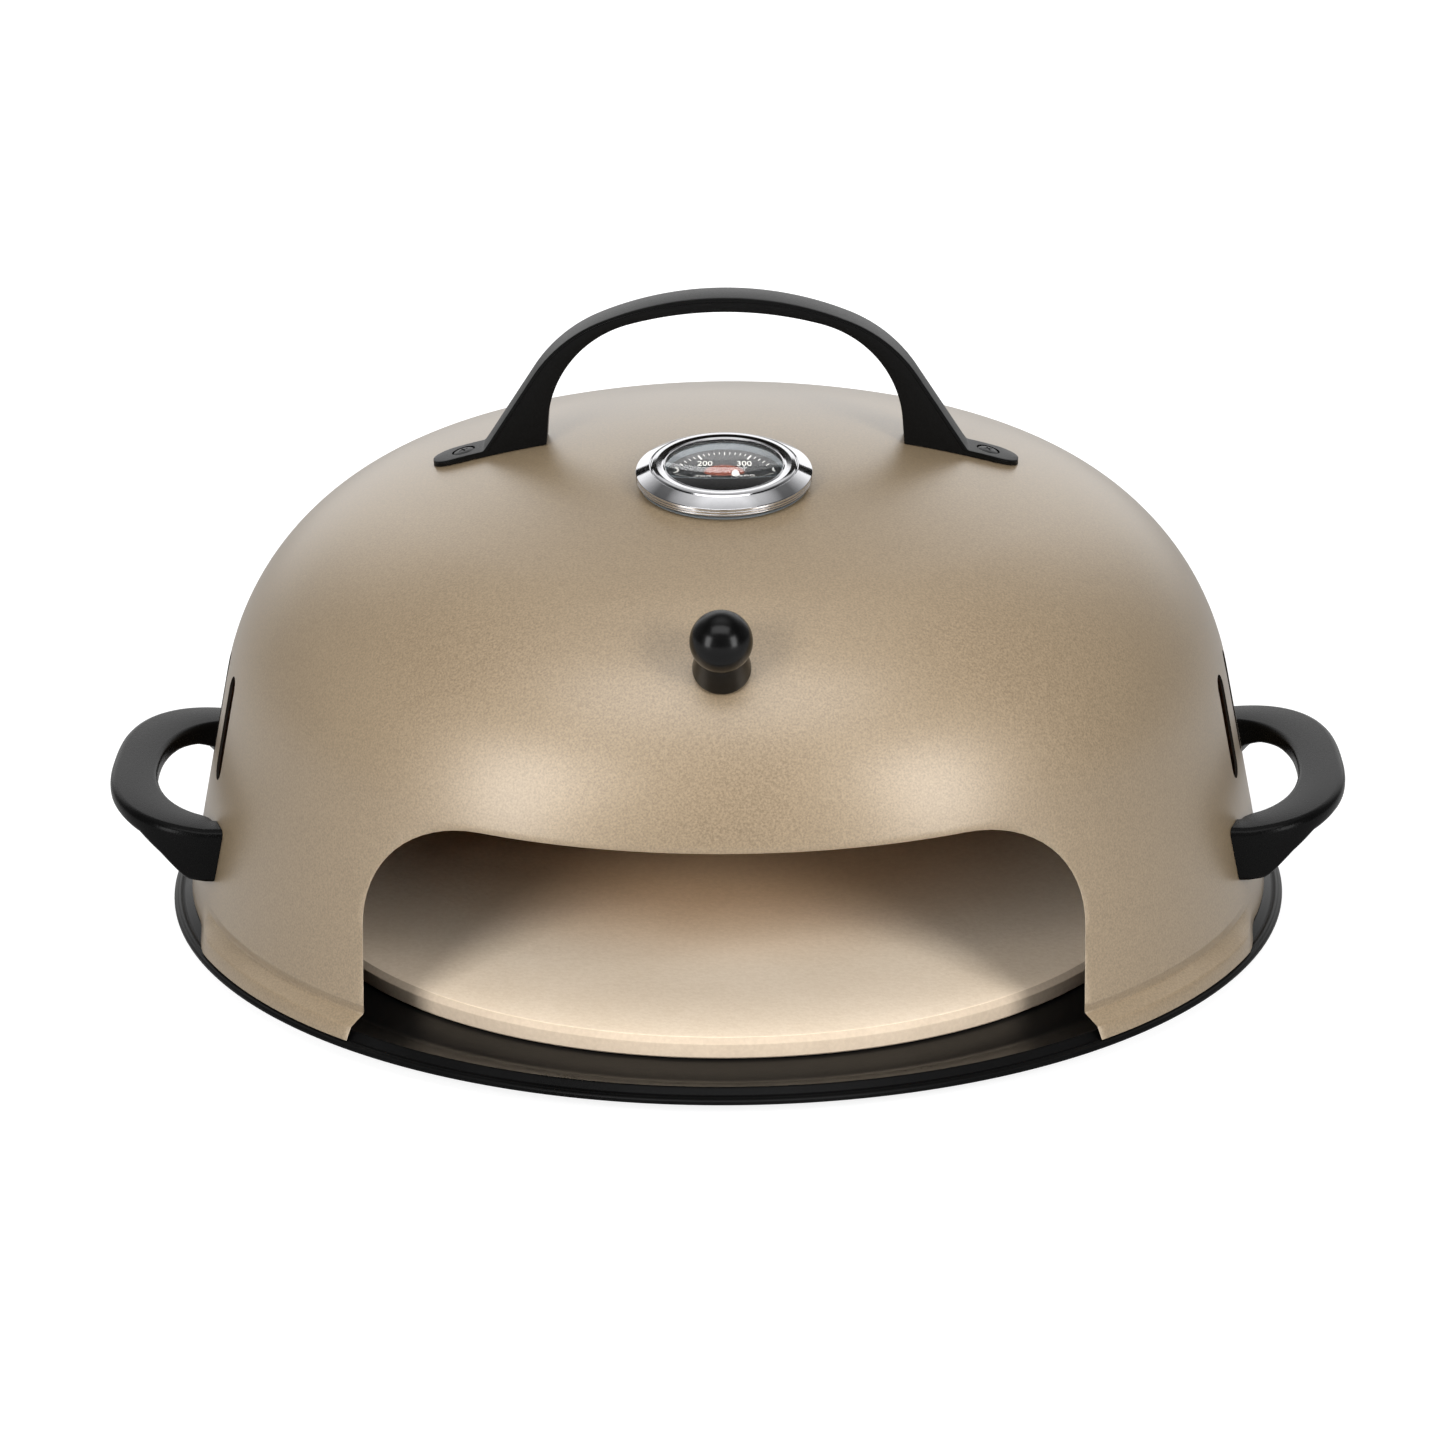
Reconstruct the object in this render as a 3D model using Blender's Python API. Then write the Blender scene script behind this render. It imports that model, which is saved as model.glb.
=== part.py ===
"""Grill-top pizza oven.

An enamelled pan stands on the grill and carries a round ceramic stone. A pressed
steel dome with an arched mouth lifts off the pan. It has vent slots, three
handles, a lifting knob and a dial thermometer. Lengths are in metres, +Z is up,
the pan's underside is at z = 0 and the mouth faces -Y. Heights named "above the
brim" count from the top of the pan's brim.
"""
import math

import bmesh
import bpy
from mathutils import Matrix, Vector

# Clearances. The inner gap is also for what the facets of the skin fall short of its curve
seat_gap = 0.0003
inner_gap = 0.0005
bore_gap = 0.0004
cut_overrun = 0.006
weld_distance = 0.000001

# Facets round the turned pieces, along a fillet and along the dome's two arcs
dome_facets = 72
pan_facets = 48
bezel_facets = 36
small_facets = 20
bore_facets = 10
fillet_facets = 2
corner_facets = 6
crown_facets = 5
loop_facets = 18
shoulder_facets = 7

# Base pan: a shallow dish with a ridge that the dome stands on
pan_radius = 0.2465
pan_sheet = 0.0012
pan_floor_inset = 0.0335
pan_floor_fillet = 0.0160
pan_ridge_inset = 0.0083
pan_ridge_rise = 0.0036
pan_ridge_fillet = 0.0040
pan_brim_width = 0.0050
pan_brim_height = 0.0088
pan_edge_fillet = 0.0018
pan_edge_drop = 0.0034
pan_floor_radius = pan_radius - pan_floor_inset
pan_ridge_radius = pan_radius - pan_ridge_inset
pan_ridge_height = pan_brim_height + pan_ridge_rise
pan_brim_radius = pan_radius - pan_brim_width

# Pizza stone
stone_clearance = 0.0230
stone_radius = pan_floor_radius - stone_clearance
stone_thickness = 0.0090
stone_bevel = 0.0024
stone_foot_bevel = 0.0008

# Dome: a crown arc, a shoulder arc and a straight wall, heights above the brim. Its
# wall stands over the pan's ridge, and the shares keep its form when the pan grows
dome_seat_out = 0.0008
dome_height_share = 0.86946
dome_crown_share = 1.87866
dome_shoulder_share = 0.47113
dome_wall_radius = pan_ridge_radius + dome_seat_out
dome_height = dome_wall_radius * dome_height_share
dome_crown_radius = dome_wall_radius * dome_crown_share
dome_shoulder_radius = dome_wall_radius * dome_shoulder_share
dome_draft = math.radians(11.2)
dome_sheet = 0.0012

# Flange: the dome's foot steps out over the pan's ridge, except at the sides
flange_crease_height = 0.0100
flange_crease_soft = 0.0028
flange_corner_share = 0.45
flange_step_height = 0.0052
flange_step_out = 0.0060
flange_lip_height = 0.0008
flange_lip_out = 0.0078
flange_end_angle = math.radians(70.0)
flange_blend_angle = math.radians(8.0)

# Mouth, heights above the brim
mouth_width_share = 0.62176
mouth_height_share = 0.46198
mouth_corner_share = 0.52083
mouth_half_width = dome_wall_radius * mouth_width_share
mouth_height = dome_height * mouth_height_share
mouth_corner_radius = mouth_height * mouth_corner_share
mouth_flare_height = 0.0094
mouth_flare_angle = math.radians(42.0)

# Vent slots, in a row on each side
slot_count = 4
slot_width = 0.0115
slot_length_share = 0.22762
slot_height_share = 0.41193
slot_length = dome_height * slot_length_share
slot_height = dome_height * slot_height_share
slot_pitch_angle = math.radians(8.3)

# Machine screws, washers and nuts
screw_radius = 0.0025
screw_head_radius = 0.0047
screw_head_height = 0.0026
screw_crown_share = 0.55
washer_radius = 0.0060
washer_thickness = 0.0010
nut_across_flats = 0.0080
nut_thickness = 0.0040
insert_radius = 0.0038
insert_length = 0.0090

# Top handle. Its arcs are shares of its rise over the dome, its feet of the dome's radius
grip_width = 0.0180
grip_edge_radius = 0.0022
grip_rise = 0.0608
grip_thickness = 0.0077
grip_outer_arc_share = 2.30263
grip_outer_shoulder_share = 1.05263
grip_outer_foot_share = 0.43849
grip_outer_lean = math.radians(33.0)
grip_inner_arc_share = 2.59868
grip_inner_shoulder_share = 0.78454
grip_inner_foot_share = 0.32301
grip_inner_lean = math.radians(4.2)
grip_facing_share = 0.1
grip_top_height = dome_height + grip_rise
grip_outer_radius = grip_rise * grip_outer_arc_share
grip_outer_shoulder = grip_rise * grip_outer_shoulder_share
grip_outer_foot = dome_wall_radius * grip_outer_foot_share
grip_inner_radius = grip_rise * grip_inner_arc_share
grip_inner_shoulder = grip_rise * grip_inner_shoulder_share
grip_inner_foot = dome_wall_radius * grip_inner_foot_share
tab_reach_share = 0.53054
tab_thickness = 0.0040
tab_end_radius = 0.0080
tab_screw_inset = 0.0138
tab_reach = dome_wall_radius * tab_reach_share
tab_screw_radius = tab_reach - tab_screw_inset

# Side handles, heights above the brim
loop_top_height = 0.0500
loop_arm_thickness = 0.0115
loop_foot_drop = 0.0240
loop_root_inset = 0.0200
loop_reach = 0.0532
loop_bar_width = 0.0200
loop_width_share = 0.33891
loop_foot_width = 0.0230
loop_root_radius = dome_wall_radius - loop_root_inset
loop_half_width = dome_wall_radius * loop_width_share
loop_gap_reach = loop_reach - loop_bar_width
loop_gap_half_width = loop_half_width - loop_foot_width
loop_outer_roundness = 2.2
loop_gap_roundness = 2.2
loop_foot_flat = 0.0110
loop_foot_slope = 0.0165
loop_edge_radius = 0.0030
loop_embed = 0.0400
loop_screw_angle = math.radians(17.5)
loop_screw_height = 0.0370

# Lifting knob, on the dome's shoulder
knob_place_share = 0.76946
knob_place_radius = dome_wall_radius * knob_place_share
knob_foot_radius = 0.0119
knob_waist_radius = 0.0105
knob_waist_height = 0.0110
knob_ball_radius = 0.0127
knob_ball_height = 0.0238
knob_foot_edge = 0.0010
knob_join_share = 0.90

# Thermometer, on the crown in front of the top handle
dial_place_share = 0.27280
dial_place_radius = dome_wall_radius * dial_place_share
bezel_radius = 0.0372
bezel_skirt_height = 0.0048
bezel_edge = 0.0006
bezel_height = 0.0080
bezel_cone_run = 0.0070
bezel_ring_width = 0.0054
bezel_ring_radius = bezel_radius - bezel_cone_run
bezel_opening_radius = bezel_ring_radius - bezel_ring_width
bezel_wall = 0.0010
lens_lap = 0.0016
lens_radius = bezel_opening_radius + lens_lap
lens_thickness = 0.0016
seal_thickness = 0.0008
case_radius = lens_radius
case_wall = 0.0010
case_floor_depth = 0.0016
case_floor_wall = 0.0006
case_flange_wall = 0.0006
dial_thickness = 0.0004
pointer_height = 0.0012
pointer_thickness = 0.0004
pointer_reach_share = 0.76613
pointer_reach = bezel_opening_radius * pointer_reach_share
pointer_tail = 0.0075
pointer_half_width = 0.0008
pointer_tail_half_width = 0.0013
pointer_hub_radius = 0.0024
pointer_hub_share = 0.42
pointer_rest_angle = math.radians(135.0)
shaft_radius = 0.0007
stem_radius = 0.0030
stem_wall = 0.0006
stem_bore_radius = stem_radius - stem_wall
stem_length = 0.0600
boss_step = 0.0015
boss_radius = stem_radius + boss_step
boss_length = 0.0130
clamp_overlap = 0.0040
clamp_thickness = 0.0010
stem_nut_across_flats = 0.0140
coil_clearance = 0.0007
coil_radius = stem_bore_radius - coil_clearance
coil_wire_radius = 0.0003
coil_length = 0.0240
coil_turns = 6
coil_facets = 8

# Colours, roughness and metallic value of each finish
finishes = {
    "bronze_paint": ((0.36, 0.30, 0.22), 0.38, 0.60),
    "black_enamel": ((0.018, 0.018, 0.019), 0.30, 0.0),
    "cordierite": ((0.74, 0.64, 0.50), 0.85, 0.0),
    "black_nylon": ((0.022, 0.022, 0.024), 0.45, 0.0),
    "black_phenolic": ((0.010, 0.010, 0.011), 0.15, 0.0),
    "zinc_steel": ((0.55, 0.55, 0.56), 0.35, 1.0),
    "brass": ((0.60, 0.45, 0.18), 0.30, 1.0),
    "chrome": ((0.80, 0.80, 0.82), 0.07, 1.0),
    "clear_glass": ((0.90, 0.95, 0.95), 0.03, 0.0),
    "dial_print": ((0.30, 0.10, 0.07), 0.50, 0.0),
    "pointer_paint": ((0.75, 0.74, 0.70), 0.60, 0.0),
    "seal_rubber": ((0.03, 0.03, 0.03), 0.70, 0.0),
}


def clear_scene():
    for item in list(bpy.data.objects):
        bpy.data.objects.remove(item, do_unlink=True)


def finish_material(name):
    found = bpy.data.materials.get(name)
    if found:
        return found
    colour, roughness, metallic = finishes[name]
    material = bpy.data.materials.new(name)
    material.use_nodes = True
    shader = material.node_tree.nodes["Principled BSDF"]
    shader.inputs["Base Color"].default_value = (*colour, 1.0)
    shader.inputs["Roughness"].default_value = roughness
    shader.inputs["Metallic"].default_value = metallic
    return material


def add_empty(name, frame):
    """An empty that a group of pieces hangs from."""
    empty = bpy.data.objects.new(name, None)
    bpy.context.collection.objects.link(empty)
    empty.matrix_world = frame
    return empty


def add_piece(name, mesh, finish, parent=None, smooth_angle=math.radians(35.0)):
    """Put a mesh in the scene as one named piece with its finish."""
    mesh.shade_smooth()
    mesh.set_sharp_from_angle(angle=smooth_angle)
    mesh.materials.append(finish_material(finish))
    piece = bpy.data.objects.new(name, mesh)
    bpy.context.collection.objects.link(piece)
    piece.parent = parent
    return piece


def add_cutter(name, mesh):
    cutter = bpy.data.objects.new(name, mesh)
    bpy.context.collection.objects.link(cutter)
    cutter.hide_render = True
    cutter.display_type = "WIRE"
    return cutter


def cut(piece, cutter):
    modifier = piece.modifiers.new(cutter.name, "BOOLEAN")
    modifier.operation = "DIFFERENCE"
    modifier.object = cutter


def to_mesh(name, shape):
    """Close a bmesh into a mesh whose faces point out."""
    bmesh.ops.remove_doubles(shape, verts=shape.verts, dist=weld_distance)
    bmesh.ops.recalc_face_normals(shape, faces=shape.faces)
    mesh = bpy.data.meshes.new(name)
    shape.to_mesh(mesh)
    shape.free()
    return mesh


def arc(centre_x, centre_y, radius, start, end, steps):
    """Points on an arc, both ends included."""
    points = []
    for step in range(steps + 1):
        angle = start + (end - start) * step / steps
        points.append((centre_x + radius * math.cos(angle), centre_y + radius * math.sin(angle)))
    return points


def circle(radius, facets, turn_share=0.0):
    """Points round a circle, turned by a share of one facet so that edges don't coincide."""
    start = math.tau * turn_share / facets
    return arc(0.0, 0.0, radius, start, start + math.tau, facets)[:-1]


def filleted(corners, steps=fillet_facets):
    """An outline through corners (x, y, fillet radius), with its fillets as arcs."""
    points = []
    for index, (x, y, radius) in enumerate(corners):
        inner = 0 < index < len(corners) - 1
        if not inner or radius == 0.0:
            points.append((x, y))
            continue
        corner = Vector((x, y))
        before = (Vector(corners[index - 1][:2]) - corner).normalized()
        after = (Vector(corners[index + 1][:2]) - corner).normalized()
        half_angle = before.angle(after) / 2.0
        centre = corner + (before + after).normalized() * (radius / math.sin(half_angle))
        start = corner + before * (radius / math.tan(half_angle)) - centre
        turn = math.pi - 2.0 * half_angle
        if before.x * after.y - before.y * after.x > 0.0:
            turn = -turn
        for step in range(steps + 1):
            swing = Matrix.Rotation(turn * step / steps, 2)
            points.append(tuple(centre + swing @ start))
    return points


def arched_side(top, crown_radius, shoulder_radius, foot_x, foot_y, lean, crown_steps, shoulder_steps):
    """Half of an arch from its top to its foot: crown arc, shoulder arc, straight leg.

    The arcs and the leg are tangent. The leg leans in by the angle lean and passes
    through the foot.
    """
    reach = crown_radius - shoulder_radius

    def miss(angle):
        centre_x = reach * math.sin(angle)
        centre_y = top - crown_radius + reach * math.cos(angle)
        leg_x = foot_x - (centre_y - foot_y) * math.tan(lean)
        return (leg_x - centre_x) * math.cos(lean) - shoulder_radius

    low = 0.0
    high = math.pi / 2.0 - lean
    for _ in range(60):
        middle = (low + high) / 2.0
        if miss(middle) > 0.0:
            low = middle
        else:
            high = middle
    join = (low + high) / 2.0
    centre_x = reach * math.sin(join)
    centre_y = top - crown_radius + reach * math.cos(join)
    upright = math.pi / 2.0
    crown = arc(0.0, top - crown_radius, crown_radius, upright, upright - join, crown_steps)
    shoulder = arc(centre_x, centre_y, shoulder_radius, upright - join, lean, shoulder_steps)
    return crown + shoulder[1:] + [(foot_x, foot_y)]


def spun_surface(profile, facets):
    """Turn a profile of (radius, height) points about Z."""
    shape = bmesh.new()
    verts = [shape.verts.new((radius, 0.0, height)) for radius, height in profile]
    edges = [shape.edges.new(pair) for pair in zip(verts, verts[1:])]
    bmesh.ops.spin(
        shape,
        geom=verts + edges,
        cent=(0.0, 0.0, 0.0),
        axis=(0.0, 0.0, 1.0),
        angle=math.tau,
        steps=facets,
        use_merge=True,
    )
    bmesh.ops.remove_doubles(shape, verts=shape.verts, dist=weld_distance)
    return shape


def turned(name, profile, facets):
    """A turned solid: the profile starts and ends on the axis."""
    return to_mesh(name, spun_surface(profile, facets))


def turned_ring(name, profile, facets):
    """A turned ring: the profile closes on itself, clear of the axis."""
    return to_mesh(name, spun_surface(list(profile) + [profile[0]], facets))


def washer_profile(inner, outer, low, high):
    return [(inner, low), (outer, low), (outer, high), (inner, high)]


def add_prism(shape, outline, low, high, frame=Matrix.Identity(4)):
    """Extrude an outline in the frame's XY plane from low to high along its Z."""
    verts = [shape.verts.new(frame @ Vector((x, y, low))) for x, y in outline]
    face = shape.faces.new(verts)
    raised = bmesh.ops.extrude_face_region(shape, geom=[face])
    new_verts = [item for item in raised["geom"] if isinstance(item, bmesh.types.BMVert)]
    axis = frame.to_3x3() @ Vector((0.0, 0.0, 1.0))
    bmesh.ops.translate(shape, verts=new_verts, vec=axis * (high - low))


def frame_on(point, normal, across):
    """A frame at a point with Z along the normal and X as near across as it can be."""
    z_axis = normal.normalized()
    y_axis = z_axis.cross(across).normalized()
    x_axis = y_axis.cross(z_axis)
    rotation = Matrix((x_axis, y_axis, z_axis)).transposed().to_4x4()
    return Matrix.Translation(point) @ rotation


# The dome's own shape, which most other pieces take their place from

def wall_radius(height):
    """Outside radius of the straight wall at a height above the brim."""
    return dome_wall_radius - height * math.tan(dome_draft)


def dome_outline(rim_height, crown_steps=crown_facets, shoulder_steps=shoulder_facets):
    """Outside profile of the dome above the brim, from the top to its rim."""
    return arched_side(
        dome_height,
        dome_crown_radius,
        dome_shoulder_radius,
        wall_radius(rim_height),
        rim_height,
        dome_draft,
        crown_steps,
        shoulder_steps,
    )


def crown_height(radius):
    """Height above the brim of the crown's outside at a radius."""
    return dome_height - dome_crown_radius + math.sqrt(dome_crown_radius**2 - radius**2)


def crown_sink(radius):
    """How far the crown falls below its tangent plane at a radius from the point it touches."""
    return radius**2 / (2.0 * dome_crown_radius)


def dome_frame(radius, azimuth):
    """Frame on the dome's outside at a radius from its axis, Z along the normal.

    The point is found on the crown, the shoulder or the wall. Azimuth turns from
    the front (-Y) towards +X.
    """
    fine = dome_outline(flange_crease_height, 60, 120)
    for (r_high, z_high), (r_low, z_low) in zip(fine, fine[1:]):
        if r_high <= radius <= r_low:
            share = (radius - r_high) / (r_low - r_high)
            height = z_high + share * (z_low - z_high)
            slope = Vector((z_high - z_low, r_low - r_high)).normalized()
            break
    outward = Vector((math.sin(azimuth), -math.cos(azimuth), 0.0))
    across = Vector((math.cos(azimuth), math.sin(azimuth), 0.0))
    point = outward * radius + Vector((0.0, 0.0, pan_brim_height + height))
    normal = outward * slope.x + Vector((0.0, 0.0, slope.y))
    return frame_on(point, normal, across)


def pan_profile():
    """Upper face of the pan from the centre to the turned-down edge."""
    return filleted([
        (0.0, pan_sheet, 0.0),
        (pan_floor_radius, pan_sheet, pan_floor_fillet),
        (pan_ridge_radius, pan_ridge_height, pan_ridge_fillet),
        (pan_brim_radius, pan_brim_height, 0.0),
        (pan_radius, pan_brim_height, pan_edge_fillet),
        (pan_radius, pan_brim_height - pan_edge_drop, 0.0),
    ])


def rim_height():
    """Height above the brim of the dome's plain rim, which stands on the pan's ridge."""
    crest = max(height for _, height in pan_profile()) - pan_brim_height
    return crest + seat_gap + dome_sheet * math.sin(dome_draft)


def build_base_pan():
    shape = spun_surface(pan_profile(), pan_facets)
    bmesh.ops.recalc_face_normals(shape, faces=shape.faces)
    floor = max(shape.faces, key=lambda face: abs(face.normal.z))
    if floor.normal.z < 0.0:
        bmesh.ops.reverse_faces(shape, faces=shape.faces)
    mesh = bpy.data.meshes.new("base_pan")
    shape.to_mesh(mesh)
    shape.free()
    pan = add_piece("base_pan", mesh, "black_enamel")
    sheet = pan.modifiers.new("sheet", "SOLIDIFY")
    sheet.thickness = pan_sheet
    sheet.offset = -1.0
    sheet.use_even_offset = True


def build_stone():
    low = pan_sheet + seat_gap
    high = low + stone_thickness
    profile = [
        (0.0, low),
        (stone_radius - stone_foot_bevel, low),
        (stone_radius, low + stone_foot_bevel),
        (stone_radius, high - stone_bevel),
        (stone_radius - stone_bevel, high),
        (0.0, high),
    ]
    add_piece("pizza_stone", turned("pizza_stone", profile, pan_facets), "cordierite")


def flange_share(azimuth):
    """How far the flange is pressed out at an azimuth, from none (0) to full (1)."""
    from_middle = abs(math.remainder(azimuth, math.pi))
    share = (flange_end_angle + flange_blend_angle / 2.0 - from_middle) / flange_blend_angle
    share = min(max(share, 0.0), 1.0)
    return share * share * (3.0 - 2.0 * share)


def flange_corner(rim):
    """Height on the plain wall of what becomes the corner of the flange's step."""
    return flange_crease_height + flange_corner_share * (rim - flange_crease_height)


def pressed_foot(height, rim):
    """Shift out and down of a point of the plain wall where the flange is full."""
    middle = flange_corner(rim)
    keys = [
        (flange_crease_height, 0.0, flange_crease_height),
        (middle, flange_step_out, flange_step_height),
        (rim, flange_lip_out, flange_lip_height),
    ]
    for (top, out_top, to_top), (low, out_low, to_low) in zip(keys, keys[1:]):
        if height >= low - weld_distance:
            share = (top - height) / (top - low)
            out = out_top + share * (out_low - out_top)
            pressed = to_top + share * (to_low - to_top)
            radius_out = wall_radius(flange_crease_height) + out - wall_radius(height)
            return radius_out, pressed - height
    return 0.0, 0.0


def mouth_mesh():
    """The mouth's arched outline, cut straight through the front wall along Y."""
    top = pan_brim_height + mouth_height
    flare = pan_brim_height + mouth_flare_height
    foot = pan_brim_height - cut_overrun
    half = filleted([
        (0.0, top, 0.0),
        (mouth_half_width, top, mouth_corner_radius),
        (mouth_half_width, flare, 0.0),
        (mouth_half_width + (flare - foot) * math.tan(mouth_flare_angle), foot, 0.0),
    ], corner_facets)
    outline = half[1:] + [(-x, z) for x, z in reversed(half[1:])]
    front = frame_on(Vector((0.0, 0.0, 0.0)), Vector((0.0, -1.0, 0.0)), Vector((1.0, 0.0, 0.0)))
    shape = bmesh.new()
    add_prism(shape, outline, 0.0, dome_wall_radius + flange_lip_out + cut_overrun, front)
    return to_mesh("mouth_cutter", shape)


def slot_mesh():
    """Upright slots with round ends in an even row round each side of the wall."""
    straight = (slot_length - slot_width) / 2.0
    end = slot_width / 2.0
    outline = arc(0.0, straight, end, 0.0, math.pi, 5) + arc(0.0, -straight, end, math.pi, math.tau, 5)
    shape = bmesh.new()
    for side in (-1.0, 1.0):
        for index in range(slot_count):
            offset = (index - (slot_count - 1) / 2.0) * slot_pitch_angle
            azimuth = side * (math.pi / 2.0 + offset)
            frame = dome_frame(wall_radius(slot_height), azimuth)
            add_prism(shape, outline, -dome_sheet - cut_overrun, cut_overrun, frame)
    return to_mesh("slot_cutter", shape)


def fixing_frames():
    """Frames on the dome's outside where something is screwed on, by name."""
    frames = {
        "top_handle_left": dome_frame(tab_screw_radius, -math.pi / 2.0),
        "top_handle_right": dome_frame(tab_screw_radius, math.pi / 2.0),
        "front_knob": dome_frame(knob_place_radius, 0.0),
    }
    radius = wall_radius(loop_screw_height)
    for side_name, side in (("left", -1.0), ("right", 1.0)):
        for end_name, end in (("front", -1.0), ("rear", 1.0)):
            azimuth = side * (math.pi / 2.0 + end * loop_screw_angle)
            frames[f"{side_name}_side_handle_{end_name}"] = dome_frame(radius, azimuth)
    return frames


def bore_mesh():
    """Screw holes and the thermometer's hole, square to the dome's skin."""
    shape = bmesh.new()
    for frame in fixing_frames().values():
        outline = circle(screw_radius + bore_gap, bore_facets)
        add_prism(shape, outline, -dome_sheet - cut_overrun, cut_overrun, frame)
    hole = circle(case_radius + 2.0 * seat_gap, small_facets, 0.5)
    frame = dome_frame(dial_place_radius, 0.0)
    add_prism(shape, hole, -dome_sheet - cut_overrun, cut_overrun, frame)
    return to_mesh("bore_cutter", shape)


def build_dome():
    rim = rim_height()
    outline = dome_outline(rim)
    foot = [
        (wall_radius(height), height)
        for height in (flange_crease_height + flange_crease_soft,
                       flange_crease_height,
                       flange_corner(rim),
                       rim)
    ]
    shape = spun_surface([(r, pan_brim_height + h) for r, h in outline[:-1] + foot], dome_facets)
    for vert in shape.verts:
        height = vert.co.z - pan_brim_height
        if height > flange_crease_height:
            continue
        azimuth = math.atan2(vert.co.x, -vert.co.y)
        share = flange_share(azimuth)
        out, rise = pressed_foot(height, rim)
        outward = Vector((math.sin(azimuth), -math.cos(azimuth), 0.0))
        vert.co += outward * (out * share) + Vector((0.0, 0.0, rise * share))
    bmesh.ops.recalc_face_normals(shape, faces=shape.faces)
    top_face = max(shape.faces, key=lambda face: face.calc_center_median().z)
    if top_face.normal.z < 0.0:
        bmesh.ops.reverse_faces(shape, faces=shape.faces)
    mesh = bpy.data.meshes.new("dome_shell")
    shape.to_mesh(mesh)
    shape.free()
    dome = add_piece("dome_shell", mesh, "bronze_paint")
    sheet = dome.modifiers.new("sheet", "SOLIDIFY")
    sheet.thickness = dome_sheet
    sheet.offset = -1.0
    sheet.use_even_offset = True
    cut(dome, add_cutter("mouth_cutter", mouth_mesh()))
    cut(dome, add_cutter("slot_cutter", slot_mesh()))
    cut(dome, add_cutter("bore_cutter", bore_mesh()))


def dome_form_cutter():
    """The dome's outside grown by the seat gap, which trims what sits on its wall."""
    rim = rim_height()
    outline = [(r + seat_gap / math.cos(dome_draft), z) for r, z in dome_outline(rim)[1:]]
    profile = [(0.0, dome_height + seat_gap)] + outline + [(0.0, rim)]
    mesh = turned("dome_form", [(r, pan_brim_height + z) for r, z in profile], dome_facets)
    return add_cutter("dome_form", mesh)


def screw_mesh(name, head_at, side, tip_at):
    """A round-headed machine screw along Z. The head lies past head_at on the given side."""
    profile = [
        (0.0, head_at + side * screw_head_height),
        (screw_head_radius * screw_crown_share, head_at + side * screw_head_height),
        (screw_head_radius, head_at + side * screw_head_height * (1.0 - screw_crown_share)),
        (screw_head_radius, head_at),
        (screw_radius, head_at),
        (screw_radius, tip_at),
        (0.0, tip_at),
    ]
    return turned(name, profile, bore_facets)


def hex_nut_mesh(name, across_flats, bore, low, high):
    """A hexagon nut, lofted round its bore with a point at each corner and each flat."""
    flat = across_flats / 2.0
    radii = [flat / math.cos(math.pi / 6.0), flat] * 6
    angles = [math.tau * index / len(radii) for index in range(len(radii))]
    shape = bmesh.new()
    columns = []
    for radius, angle in zip(radii, angles):
        out = Vector((math.cos(angle), math.sin(angle), 0.0))
        corners = [(bore, low), (radius, low), (radius, high), (bore, high)]
        columns.append([shape.verts.new(out * r + Vector((0.0, 0.0, z))) for r, z in corners])
    for index, column in enumerate(columns):
        last = columns[index - 1]
        for corner in range(4):
            shape.faces.new((last[corner - 1], column[corner - 1], column[corner], last[corner]))
    return to_mesh(name, shape)


def build_inside_fixing(group, insert_name, screw_name, washer_name, insert_start):
    """A screw from inside the dome, its washer, and the brass insert that it runs into."""
    under = -dome_sheet - inner_gap
    washer = washer_profile(screw_radius + seat_gap, washer_radius, under - washer_thickness, under)
    add_piece(washer_name, turned_ring(washer_name, washer, bore_facets), "zinc_steel", group)
    head_at = under - washer_thickness - seat_gap
    tip_at = insert_start + insert_length - seat_gap
    add_piece(screw_name, screw_mesh(screw_name, head_at, -1.0, tip_at), "zinc_steel", group)
    insert = washer_profile(screw_radius + seat_gap, insert_radius, insert_start, insert_start + insert_length)
    add_piece(insert_name, turned_ring(insert_name, insert, bore_facets), "brass", group)


def insert_pocket(shape, frame, insert_start):
    outline = circle(insert_radius + seat_gap, bore_facets, 0.25)
    add_prism(shape, outline, -cut_overrun, insert_start + insert_length + seat_gap, frame)


def top_handle_outline():
    """The handle seen from the front: an arch on two feet that run out into tabs."""
    outer = arched_side(
        grip_top_height, grip_outer_radius, grip_outer_shoulder,
        grip_outer_foot, crown_height(grip_outer_foot) + seat_gap + tab_thickness,
        grip_outer_lean, 7, 5,
    )
    inner = arched_side(
        grip_top_height - grip_thickness, grip_inner_radius, grip_inner_shoulder,
        grip_inner_foot, crown_height(grip_inner_foot) + seat_gap,
        grip_inner_lean, 6, 6,
    )
    under = [
        (x, crown_height(x) + seat_gap)
        for x in (grip_inner_foot, grip_outer_foot, tab_reach)
    ]
    tab_end = (tab_reach, crown_height(tab_reach) + seat_gap + tab_thickness)
    right = inner[1:-1] + under + [tab_end] + list(reversed(outer))
    left = [(-x, z) for x, z in reversed(right[:-1])]
    return right + left + [inner[0]]


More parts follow.
